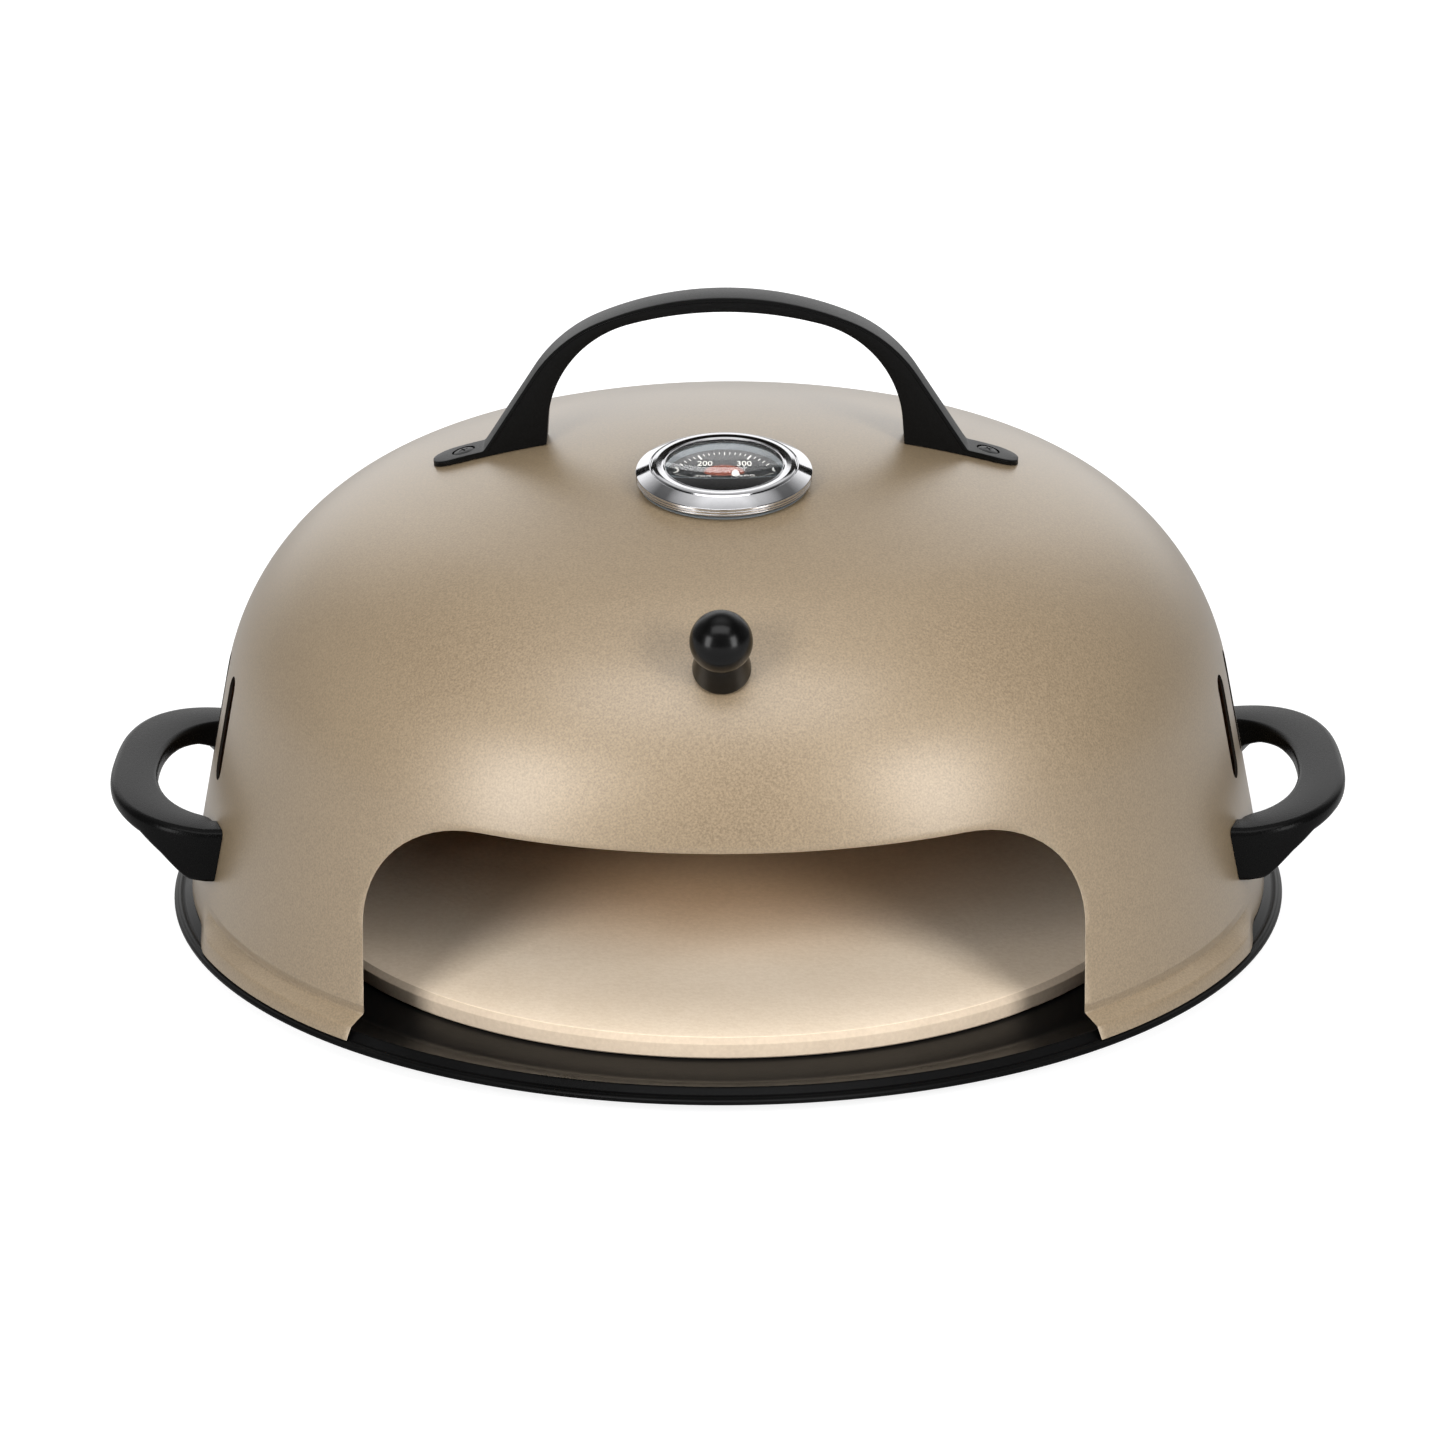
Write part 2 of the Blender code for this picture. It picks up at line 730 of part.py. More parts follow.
def build_top_handle():
    outline = top_handle_outline()
    front = frame_on(Vector((0.0, 0.0, pan_brim_height)), Vector((0.0, -1.0, 0.0)), Vector((1.0, 0.0, 0.0)))
    shape = bmesh.new()
    add_prism(shape, outline, -grip_width / 2.0, grip_width / 2.0, front)
    ends = [
        edge for edge in shape.edges
        if all(abs(vert.co.x) > tab_reach - weld_distance for vert in edge.verts)
        and abs(edge.verts[0].co.y - edge.verts[1].co.y) < weld_distance
    ]
    bmesh.ops.bevel(shape, geom=ends, offset=tab_end_radius, segments=4, profile=0.5, affect="EDGES")
    shape.normal_update()
    tab_top = pan_brim_height + crown_height(grip_outer_foot) + seat_gap + tab_thickness
    rims = [
        edge for edge in shape.edges
        if any(abs(face.normal.y) > 1.0 - grip_facing_share for face in edge.link_faces)
        and any(face.normal.z > grip_facing_share for face in edge.link_faces)
        and max(vert.co.z for vert in edge.verts) > tab_top + weld_distance
    ]
    bmesh.ops.bevel(shape, geom=rims, offset=grip_edge_radius, segments=1, affect="EDGES")
    handle = add_piece("top_handle", to_mesh("top_handle", shape), "black_nylon")
    frames = fixing_frames()
    bores = bmesh.new()
    for end in ("left", "right"):
        frame = frames[f"top_handle_{end}"]
        outline = circle(screw_radius + bore_gap, bore_facets)
        add_prism(bores, outline, -cut_overrun, cut_overrun + tab_thickness, frame)
        group = add_empty(f"top_handle_fixing_{end}", frame)
        head_at = 2.0 * seat_gap + tab_thickness
        under = -dome_sheet - inner_gap
        nut_low = under - washer_thickness - seat_gap - nut_thickness
        name = f"top_handle_screw_{end}"
        tip_at = nut_low - screw_radius
        add_piece(name, screw_mesh(name, head_at, 1.0, tip_at), "zinc_steel", group)
        name = f"top_handle_washer_{end}"
        washer = washer_profile(screw_radius + seat_gap, washer_radius, under - washer_thickness, under)
        add_piece(name, turned_ring(name, washer, bore_facets), "zinc_steel", group)
        name = f"top_handle_nut_{end}"
        nut = hex_nut_mesh(name, nut_across_flats, screw_radius + seat_gap, nut_low, nut_low + nut_thickness)
        add_piece(name, nut, "zinc_steel", group)
    cut(handle, add_cutter("top_handle_bores", to_mesh("top_handle_bores", bores)))


def superellipse(reach, half_width, roundness, angle):
    """A point of a D-shaped loop, measured from the wall outward and along it."""
    out = reach * max(math.cos(angle), 0.0) ** (2.0 / roundness)
    along = half_width * abs(math.sin(angle)) ** (2.0 / roundness)
    return out, math.copysign(along, angle)


def loop_underside(out):
    """Height above the brim of the side handle's underside: deep feet, thin grip."""
    share = min(max((out - loop_foot_flat) / loop_foot_slope, 0.0), 1.0)
    drop = loop_foot_drop + share * (loop_arm_thickness - loop_foot_drop)
    return loop_top_height - drop


def loop_section(outer, inner, edge):
    """A section of the loop between its outer and inner outline, with broken edges."""
    (out_o, along_o), (out_i, along_i) = outer, inner
    width = math.hypot(out_o - out_i, along_o - along_i)
    inset = edge / width
    corners = []
    stations = [(0.0, 1.0), (inset, 0.0), (1.0 - inset, 0.0), (1.0, 1.0)]
    for share, drop in stations:
        out = out_o + share * (out_i - out_o)
        along = along_o + share * (along_i - along_o)
        corners.append(Vector((out, along, loop_top_height - drop * edge)))
    for share, rise in reversed(stations):
        out = out_o + share * (out_i - out_o)
        along = along_o + share * (along_i - along_o)
        corners.append(Vector((out, along, loop_underside(out) + rise * edge)))
    return corners


def loop_handle_mesh(name, side):
    """Loft the D-shaped side handle through its sections, feet run into the wall."""
    sections = []
    for step in range(loop_facets + 1):
        angle = (step / loop_facets - 0.5) * math.pi
        outer = superellipse(loop_reach, loop_half_width, loop_outer_roundness, angle)
        inner = superellipse(loop_gap_reach, loop_gap_half_width, loop_gap_roundness, angle)
        sections.append(loop_section(outer, inner, loop_edge_radius))
    embed = Vector((-loop_embed, 0.0, 0.0))
    near_root = [corner + embed for corner in sections[0]]
    far_root = [corner + embed for corner in sections[-1]]
    sections = [near_root] + sections + [far_root]
    shape = bmesh.new()
    rings = []
    for section in sections:
        ring = []
        for corner in section:
            place = (side * (loop_root_radius + corner.x), corner.y, pan_brim_height + corner.z)
            ring.append(shape.verts.new(place))
        rings.append(ring)
    for near, far in zip(rings, rings[1:]):
        for index in range(len(near)):
            shape.faces.new((near[index - 1], near[index], far[index], far[index - 1]))
    shape.faces.new(rings[0])
    shape.faces.new(rings[-1])
    return to_mesh(name, shape)


def build_side_handles():
    form = dome_form_cutter()
    frames = fixing_frames()
    insert_start = 4.0 * seat_gap
    for side_name, side in (("left", -1.0), ("right", 1.0)):
        name = f"{side_name}_side_handle"
        handle = add_piece(name, loop_handle_mesh(name, side), "black_nylon")
        cut(handle, form)
        pockets = bmesh.new()
        for end_name in ("front", "rear"):
            key = f"{name}_{end_name}"
            insert_pocket(pockets, frames[key], insert_start)
            group = add_empty(f"{key}_fixing", frames[key])
            build_inside_fixing(group, f"{key}_insert", f"{key}_screw", f"{key}_washer", insert_start)
        cut(handle, add_cutter(f"{name}_pockets", to_mesh(f"{name}_pockets", pockets)))


def build_front_knob():
    frame = fixing_frames()["front_knob"]
    group = add_empty("front_knob_fixing", frame)
    ball_start = math.asin(knob_waist_radius * knob_join_share / knob_ball_radius)
    ball = arc(0.0, knob_ball_height, knob_ball_radius, -math.pi / 2.0 + ball_start, math.pi / 2.0, 8)
    profile = [
        (0.0, seat_gap),
        (knob_foot_radius - knob_foot_edge, seat_gap),
        (knob_foot_radius, seat_gap + knob_foot_edge),
        (knob_foot_radius, seat_gap + 2.0 * knob_foot_edge),
        (knob_waist_radius, knob_waist_height),
    ] + ball[:-1] + [(0.0, knob_ball_height + knob_ball_radius)]
    knob = add_piece("front_knob", turned("front_knob", profile, small_facets), "black_phenolic", group)
    insert_start = 2.0 * seat_gap
    build_inside_fixing(group, "front_knob_insert", "front_knob_screw", "front_knob_washer", insert_start)
    pocket = bmesh.new()
    insert_pocket(pocket, frame, insert_start)
    cut(knob, add_cutter("front_knob_pocket", to_mesh("front_knob_pocket", pocket)))


def pointer_outline():
    """A tapered needle with a round hub and a counterweight tail."""
    hub_angle = math.pi * pointer_hub_share
    hub = arc(0.0, 0.0, pointer_hub_radius, -hub_angle + math.pi / 12.0, hub_angle, 5)
    right = [(pointer_tail_half_width, -pointer_tail)] + hub + [(pointer_half_width / 3.0, pointer_reach)]
    return right + [(-x, y) for x, y in reversed(right)]


def build_thermometer():
    """The dial thermometer, about its own axis: Z runs out of the dome."""
    group = add_empty("thermometer_axis", dome_frame(dial_place_radius, 0.0))
    hole_radius = case_radius + 2.0 * seat_gap
    seat = seat_gap - crown_sink(hole_radius)
    skirt = seat_gap - crown_sink(bezel_radius - bezel_wall)
    lip_under = bezel_height - bezel_wall
    lens_high = lip_under - seat_gap
    lens_low = lens_high - lens_thickness
    seal_high = lens_low - seat_gap
    case_top = seal_high - seal_thickness - seat_gap
    case_floor = -case_floor_depth - case_floor_wall

    bezel = [
        (bezel_radius, skirt),
        (bezel_radius, bezel_skirt_height - bezel_edge),
        (bezel_radius - bezel_edge, bezel_skirt_height),
        (bezel_ring_radius + bezel_edge, bezel_height - bezel_edge / 2.0),
        (bezel_ring_radius, bezel_height),
        (bezel_opening_radius + bezel_edge, bezel_height),
        (bezel_opening_radius, bezel_height - bezel_edge),
        (bezel_opening_radius, lip_under),
        (lens_radius + seat_gap, lip_under),
        (lens_radius + seat_gap, case_top),
        (lens_radius + seat_gap + bezel_wall, case_top),
        (bezel_ring_radius - bezel_wall, lip_under - bezel_wall),
        (bezel_radius - bezel_wall, bezel_skirt_height - bezel_wall),
        (bezel_radius - bezel_wall, skirt),
    ]
    name = "thermometer_bezel"
    add_piece(name, turned_ring(name, bezel, bezel_facets), "chrome", group)

    name = "thermometer_lens"
    lens = [(0.0, lens_low), (lens_radius, lens_low), (lens_radius, lens_high), (0.0, lens_high)]
    add_piece(name, turned(name, lens, bezel_facets), "clear_glass", group)

    name = "lens_seal"
    seal = washer_profile(bezel_opening_radius, lens_radius, seal_high - seal_thickness, seal_high)
    add_piece(name, turned_ring(name, seal, bezel_facets), "seal_rubber", group)

    stem_hole = stem_bore_radius
    case = [
        (stem_hole, case_floor),
        (case_radius, case_floor),
        (case_radius, seat),
        (bezel_radius - bezel_wall - seat_gap, seat),
        (bezel_radius - bezel_wall - seat_gap, seat + case_flange_wall),
        (case_radius, seat + case_flange_wall),
        (case_radius, case_top),
        (case_radius - case_wall, case_top),
        (case_radius - case_wall, -case_floor_depth),
        (stem_hole, -case_floor_depth),
    ]
    name = "thermometer_case"
    add_piece(name, turned_ring(name, case, bezel_facets), "zinc_steel", group)

    dial_low = seat_gap - case_floor_depth
    dial = washer_profile(shaft_radius + 2.0 * seat_gap, case_radius - case_wall - seat_gap,
                          dial_low, dial_low + dial_thickness)
    name = "thermometer_dial"
    add_piece(name, turned_ring(name, dial, bezel_facets), "dial_print", group)

    stem_top = case_floor - seat_gap
    boss_end = stem_top - boss_length
    tip = stem_top - stem_length
    stem = [
        (stem_bore_radius, stem_top),
        (boss_radius, stem_top),
        (boss_radius, boss_end),
        (stem_radius, boss_end),
        (stem_radius, tip + stem_radius / 2.0),
        (stem_radius / 2.0, tip),
        (0.0, tip),
        (0.0, tip + stem_radius),
        (stem_bore_radius, tip + stem_radius),
    ]
    name = "thermometer_stem"
    stem_shape = spun_surface(stem[:7], small_facets)
    bore_shape = spun_surface(stem[7:] + [stem[0]], small_facets)
    joined = bpy.data.meshes.new("stem_bore")
    bore_shape.to_mesh(joined)
    bore_shape.free()
    stem_shape.from_mesh(joined)
    add_piece(name, to_mesh(name, stem_shape), "zinc_steel", group)

    clamp_radius = hole_radius + clamp_overlap
    clamp_high = -dome_sheet - crown_sink(clamp_radius) - inner_gap
    clamp_low = clamp_high - clamp_thickness
    name = "thermometer_clamp_plate"
    clamp = washer_profile(boss_radius + seat_gap, clamp_radius, clamp_low, clamp_high)
    add_piece(name, turned_ring(name, clamp, small_facets), "zinc_steel", group)

    nut_high = clamp_low - seat_gap
    name = "thermometer_nut"
    nut = hex_nut_mesh(name, stem_nut_across_flats, boss_radius + seat_gap, nut_high - nut_thickness, nut_high)
    add_piece(name, nut, "brass", group)

    build_movement(group, tip)


def build_movement(group, tip):
    """What turns: pointer and shaft, with the bimetal coil that drives them."""
    name = "thermometer_pointer"
    shape = bmesh.new()
    add_prism(shape, pointer_outline(), pointer_height, pointer_height + pointer_thickness)
    pointer = add_piece(name, to_mesh(name, shape), "pointer_paint", group)
    pointer.rotation_euler.z = pointer_rest_angle

    shaft_top = pointer_height - seat_gap
    shaft_low = tip + 2.0 * stem_radius
    name = "pointer_shaft"
    shaft = [(0.0, shaft_low), (shaft_radius, shaft_low), (shaft_radius, shaft_top), (0.0, shaft_top)]
    add_piece(name, turned(name, shaft, bore_facets), "zinc_steel", group)

    curve = bpy.data.curves.new("bimetal_coil", "CURVE")
    curve.dimensions = "3D"
    curve.bevel_depth = coil_wire_radius
    curve.bevel_resolution = 0
    curve.use_fill_caps = True
    curve.resolution_u = 1
    line = curve.splines.new("POLY")
    count = coil_turns * coil_facets
    line.points.add(count)
    for index in range(count + 1):
        angle = math.tau * index / coil_facets
        height = shaft_low + coil_wire_radius + coil_length * index / count
        line.points[index].co = (coil_radius * math.cos(angle), coil_radius * math.sin(angle), height, 1.0)
    curve.materials.append(finish_material("brass"))
    coil = bpy.data.objects.new("bimetal_coil", curve)
    bpy.context.collection.objects.link(coil)
    coil.parent = group


clear_scene()
build_base_pan()
build_stone()
build_dome()
build_top_handle()
build_side_handles()
build_front_knob()
build_thermometer()
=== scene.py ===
"""Grill-top pizza oven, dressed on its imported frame.

An enamelled pan carries a ceramic stone, and a painted steel dome with three
handles, a lifting knob and a dial thermometer stands on the pan. Lengths are in
metres, and heights named "above the brim" count from the top of the pan's brim.
"""
import math

import bmesh
import bpy
from mathutils import Matrix, Vector


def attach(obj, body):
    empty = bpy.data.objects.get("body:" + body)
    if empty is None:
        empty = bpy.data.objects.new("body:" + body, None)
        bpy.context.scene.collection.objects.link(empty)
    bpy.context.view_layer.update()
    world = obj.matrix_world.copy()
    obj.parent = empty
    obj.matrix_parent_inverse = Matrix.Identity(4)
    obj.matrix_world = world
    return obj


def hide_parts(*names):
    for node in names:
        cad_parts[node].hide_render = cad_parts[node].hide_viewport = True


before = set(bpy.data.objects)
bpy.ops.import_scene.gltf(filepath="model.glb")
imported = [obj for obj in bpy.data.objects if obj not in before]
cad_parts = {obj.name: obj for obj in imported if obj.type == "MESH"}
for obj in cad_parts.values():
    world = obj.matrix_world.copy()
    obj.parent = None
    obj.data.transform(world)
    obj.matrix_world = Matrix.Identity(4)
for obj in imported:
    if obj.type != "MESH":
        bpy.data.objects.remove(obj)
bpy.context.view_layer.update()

# The photographer's studio: a long lens a little above the oven and a pale floor that runs
# out to white. Two keys shine into the mouth and a wide box hangs overhead. Two tall boxes
# left and right are there only for the highlights on paint and plastic.
aim = Vector((-0.0021, 0.0, 0.0788))
camera_distance = 2.206
camera_height_angle = math.radians(20.457)
camera_turn = math.radians(0.7)
camera_roll = math.radians(-0.35)


def around_aim(turn, height_angle, distance):
    """A point round the oven: turn runs from the front to the right."""
    level = math.cos(height_angle)
    out = Vector((math.sin(turn) * level, -math.cos(turn) * level, math.sin(height_angle)))
    return aim + out * distance


def add_object(name, data):
    """A new object in the scene."""
    added = bpy.data.objects.new(name, data)
    bpy.context.scene.collection.objects.link(added)
    return added


def facing(place, target, roll=0.0):
    """The placing of a camera or lamp that looks from a place at a target."""
    turn = (target - place).to_track_quat("-Z", "Y").to_matrix().to_4x4()
    return Matrix.Translation(place) @ turn @ Matrix.Rotation(roll, 4, "Z")


lens = bpy.data.cameras.new("camera")
lens.sensor_width = 36.0
lens.lens = 124.22
lens.clip_end = 50.0
camera = add_object("camera", lens)
camera_place = around_aim(camera_turn, camera_height_angle, camera_distance)
camera.matrix_world = facing(camera_place, aim, camera_roll)
bpy.context.scene.camera = camera
bpy.context.scene.view_settings.view_transform = "Standard"


def soft_box(name, turn, height_angle, distance, size, power, lit=True, mirrored=True):
    """A soft box facing the oven. Unlit, it is only mirrored; unmirrored, it only lights."""
    lamp = bpy.data.lights.new(name, "AREA")
    lamp.shape = "RECTANGLE"
    lamp.size, lamp.size_y = size
    lamp.energy = power
    box = add_object(name, lamp)
    box.visible_camera = False
    box.visible_diffuse = lit
    box.visible_glossy = mirrored
    box.matrix_world = facing(
        around_aim(math.radians(turn), math.radians(height_angle), distance), aim,
    )
    return box


shine_boxes = [
    soft_box(
        f"{name}_shine", turn, height_angle=14.0, distance=2.0,
        size=(0.65, 1.1), power=power, lit=False,
    )
    for name, turn, power in (("left", -45.0, 15.0), ("right", 45.0, 14.5))
]
soft_box("top_box", turn=-3.0, height_angle=60.0, distance=2.2, size=(2.3, 1.0), power=20.0)
for name, turn, height_angle, distance, size, power in (
    ("left_key", -29.0, 23.0, 2.3, (0.55, 0.75), 35.5),
    ("right_key", 35.0, 25.0, 2.3, (0.55, 0.70), 39.0),
    ("left_fill", -100.0, 16.0, 2.3, (0.8, 1.2), 11.0),
    ("rear_fill", 170.0, 32.0, 2.4, (1.6, 1.0), 12.0),
):
    soft_box(name, turn, height_angle, distance, size, power, mirrored=False)


def add_node(tree, kind, inputs=None, **settings):
    """A shader node with its settings, its values set and its links made."""
    node = tree.nodes.new(kind)
    for key, value in settings.items():
        setattr(node, key, value)
    for key, value in (inputs or {}).items():
        if isinstance(value, bpy.types.NodeSocket):
            tree.links.new(value, node.inputs[key])
        else:
            node.inputs[key].default_value = value
    return node


def worked_out(tree, operation, *values):
    """The result of a Math node."""
    return add_node(
        tree, "ShaderNodeMath", dict(enumerate(values)), operation=operation,
    ).outputs[0]


def spread(tree, value, given, wanted=(0.0, 1.0), curve="LINEAR"):
    """A value carried from one range into another."""
    return add_node(tree, "ShaderNodeMapRange", {
        "Value": value, "From Min": given[0], "From Max": given[1],
        "To Min": wanted[0], "To Max": wanted[1],
    }, interpolation_type=curve).outputs["Result"]


def mixed(tree, share, none, full):
    """One value at share 0 and the other at share 1."""
    return add_node(tree, "ShaderNodeMix", {0: share, 2: none, 3: full}).outputs[0]


def distance_from(tree, point):
    """Distance from a point in the piece's own space."""
    spot = add_node(tree, "ShaderNodeTexCoord")
    return add_node(tree, "ShaderNodeVectorMath", {
        0: spot.outputs["Object"], 1: point,
    }, operation="DISTANCE").outputs["Value"]


def seen_rays(tree):
    """The Light Path node, and 1 for rays straight from the camera or through glass."""
    path = add_node(tree, "ShaderNodeLightPath")
    return path, worked_out(
        tree, "MAXIMUM", path.outputs["Is Camera Ray"], path.outputs["Is Transmission Ray"],
    )


def new_finish(name, **fixed):
    """A material, its tree and its Principled shader with the given sockets set."""
    material = bpy.data.materials.new(name)
    material.use_nodes = True
    shader = material.node_tree.nodes["Principled BSDF"]
    for socket, value in fixed.items():
        shader.inputs[socket.replace("_", " ")].default_value = value
    return material, material.node_tree, shader


world = bpy.data.worlds.new("studio")
bpy.context.scene.world = world
world.use_nodes = True
tree = world.node_tree
tree.nodes.clear()
path, straight = seen_rays(tree)
direction = add_node(tree, "ShaderNodeTexCoord")
split = add_node(tree, "ShaderNodeSeparateXYZ", {0: direction.outputs["Generated"]})
ceiling = add_node(tree, "ShaderNodeValToRGB", {"Fac": split.outputs["Z"]})
stops = ceiling.color_ramp.elements
for height, shade in (
    (0.52, 1.0), (0.66, 0.45), (0.76, 0.12), (0.84, 0.12), (0.90, 0.45), (0.95, 0.75), (0.98, 1.3),
):
    stop = stops.new(height)
    stop.color = (shade, shade, shade, 1.0)
stops.remove(stops[0])
stops.remove(stops[-1])
sideways = worked_out(tree, "ABSOLUTE", split.outputs["X"])
side_walls = spread(tree, sideways, (0.35, 0.80), (1.0, 0.15), "SMOOTHSTEP")
rear_wall = spread(tree, split.outputs["Y"], (-0.30, 0.50), (0.16, 1.25), "SMOOTHSTEP")
walls = worked_out(tree, "MULTIPLY", ceiling.outputs["Color"], side_walls)
room = worked_out(tree, "MULTIPLY", walls, rear_wall)
overhead = spread(tree, split.outputs["Z"], (0.40, 0.92), (0.0, 0.70))
mirrored_room = mixed(tree, path.outputs["Is Glossy Ray"], overhead, room)
background = add_node(tree, "ShaderNodeBackground", {
    "Color": (1.0, 1.0, 1.0, 1.0), "Strength": mixed(tree, straight, mirrored_room, 1.0),
})
add_node(tree, "ShaderNodeOutputWorld", {"Surface": background.outputs[0]})

floor_radius = 9.0
floor_gap = 0.0002
floor_mesh = bpy.data.meshes.new("floor")
floor_shape = bmesh.new()
bmesh.ops.create_circle(floor_shape, cap_ends=True, segments=96, radius=floor_radius)
floor_shape.to_mesh(floor_mesh)
floor_shape.free()
floor = add_object("floor", floor_mesh)
floor.location.z = -floor_gap
floor_finish, tree, shader = new_finish(
    "floor", Base_Color=(0.30, 0.30, 0.30, 1.0), Roughness=0.9, Specular_IOR_Level=0.1,
    Emission_Color=(1.0, 1.0, 1.0, 1.0),
)
path, straight = seen_rays(tree)
run_out = spread(tree, distance_from(tree, (0.0, 0.0, 0.0)), (0.25, 1.00), (0.84, 1.0))
seen = worked_out(tree, "MULTIPLY", straight, run_out)
glow = worked_out(tree, "MULTIPLY_ADD", path.outputs["Is Glossy Ray"], 0.20, seen)
tree.links.new(glow, shader.inputs["Emission Strength"])
floor_mesh.materials.append(floor_finish)

# Base pan: deep-drawn sheet steel, dipped in black enamel and fired. A ridge round its
# skirt carries the dome, and its brim is turned down and beaded so that it has no raw edge.
pan_radius = 0.2465
pan_sheet = 0.0012
pan_floor_radius = 0.2130
pan_floor_fillet = 0.0160
pan_ridge_radius = 0.2382
pan_ridge_height = 0.0112
pan_ridge_fillet = 0.0016
pan_brim_radius = 0.2415
pan_brim_height = 0.0088
pan_brim_bend = 0.0012
pan_edge_fillet = 0.0018
pan_edge_drop = 0.0020
bead_radius = 0.2436
bead_height = 0.00030
bead_form = (
    (-0.0008, 0.0), (-0.0005, 0.5), (-0.0002, 0.95), (0.0002, 0.95), (0.0005, 0.5), (0.0008, 0.0),
)


def arc(centre_x, centre_y, radius, start, end, steps):
    """Points on an arc, both ends included."""
    angles = (start + (end - start) * step / steps for step in range(steps + 1))
    return [
        (centre_x + radius * math.cos(angle), centre_y + radius * math.sin(angle))
        for angle in angles
    ]


def rounded(corners, steps=6, closed=False):
    """An outline through corners (x, y, radius), each corner turned on its radius."""
    points = []
    count = len(corners)
    for index, (x, y, radius) in enumerate(corners):
        inner = closed or 0 < index < count - 1
        if not inner or radius == 0.0:
            points.append((x, y))
            continue
        corner = Vector((x, y))
        before = (Vector(corners[index - 1][:2]) - corner).normalized()
        after = (Vector(corners[(index + 1) % count][:2]) - corner).normalized()
        half_angle = before.angle(after) / 2.0
        centre = corner + (before + after).normalized() * (radius / math.sin(half_angle))
        start = corner + before * (radius / math.tan(half_angle)) - centre
        turn = math.pi - 2.0 * half_angle
        if before.x * after.y - before.y * after.x > 0.0:
            turn = -turn
        for step in range(steps + 1):
            points.append(tuple(centre + Matrix.Rotation(turn * step / steps, 2) @ start))
    return points


def turned_shape(profile, around, closed=False):
    """Turn (radius, height) points about Z. Edges stand half a step off the front."""
    shape = bmesh.new()
    rings = []
    for radius, height in profile:
        if radius < 0.000001:
            rings.append([shape.verts.new((0.0, 0.0, height))] * around)
            continue
        ring = []
        for step in range(around):
            angle = math.tau * (step + 0.5) / around
            ring.append(shape.verts.new(
                (radius * math.sin(angle), -radius * math.cos(angle), height)
            ))
        rings.append(ring)
    pairs = list(zip(rings, rings[1:]))
    if closed:
        pairs.append((rings[-1], rings[0]))
    for high, low in pairs:
        for step in range(around):
            corners = [high[step - 1], high[step], low[step], low[step - 1]]
            corners = [vert for index, vert in enumerate(corners) if vert not in corners[:index]]
            if len(corners) > 2:
                shape.faces.new(corners)
    bmesh.ops.recalc_face_normals(shape, faces=shape.faces)
    return shape


def smooth(mesh, sharp_angle=35.0):
    """Shade a mesh smooth but for its sharp edges."""
    mesh.shade_smooth()
    mesh.set_sharp_from_angle(angle=math.radians(sharp_angle))


def make_piece(name, shape, *finishes, place=None):
    """Turn a bmesh into a named piece with its finishes, at its place."""
    mesh = bpy.data.meshes.new(name)
    shape.to_mesh(mesh)
    shape.free()
    for finish in finishes:
        mesh.materials.append(finish)
    if place is not None:
        mesh.transform(place)
    smooth(mesh)
    return add_object(name, mesh)


def settle(piece):
    """Take the piece as its modifiers leave it."""
    shown_piece = piece.evaluated_get(bpy.context.evaluated_depsgraph_get())
    mesh = bpy.data.meshes.new_from_object(shown_piece)
    piece.modifiers.clear()
    piece.data = mesh
    smooth(mesh)


def sheet_metal(piece, thickness):
    """Give a skin its sheet's thickness, inward from the face that is modelled."""
    skin = piece.modifiers.new("sheet", "SOLIDIFY")
    skin.thickness = thickness
    skin.offset = -1.0
    skin.use_even_offset = True


def noise_effect(name, scale, detail, roughness, wanted):
    """A node group: noise in the piece's own space, as a height and as a shade from 0 to 1."""
    group = bpy.data.node_groups.new(name, "ShaderNodeTree")
    socket = group.interface.new_socket("Scale", in_out="INPUT", socket_type="NodeSocketFloat")
    socket.default_value = scale
    for label in ("Shade", "Height"):
        group.interface.new_socket(label, in_out="OUTPUT", socket_type="NodeSocketFloat")
    given = add_node(group, "NodeGroupInput")
    spot = add_node(group, "ShaderNodeTexCoord")
    noise = add_node(group, "ShaderNodeTexNoise", {
        "Vector": spot.outputs["Object"], "Scale": given.outputs["Scale"],
        "Detail": detail, "Roughness": roughness,
    })
    add_node(group, "NodeGroupOutput", {
        "Shade": spread(group, noise.outputs["Fac"], wanted), "Height": noise.outputs["Fac"],
    })
    return group


fine_grain = noise_effect("fine_grain", 1000.0, 2.0, 0.6, (0.32, 0.68))
slow_cloud = noise_effect("slow_cloud", 12.0, 3.0, 0.55, (0.30, 0.70))


def mixed_colour(tree, share, none, full, blend="MIX"):
    """One colour at share 0 and the other at share 1."""
    none, full = (
        colour if isinstance(colour, bpy.types.NodeSocket) else (*colour, 1.0)
        for colour in (none, full)
    )
    return add_node(
        tree, "ShaderNodeMix", {0: share, 6: none, 7: full}, data_type="RGBA", blend_type=blend,
    ).outputs[2]


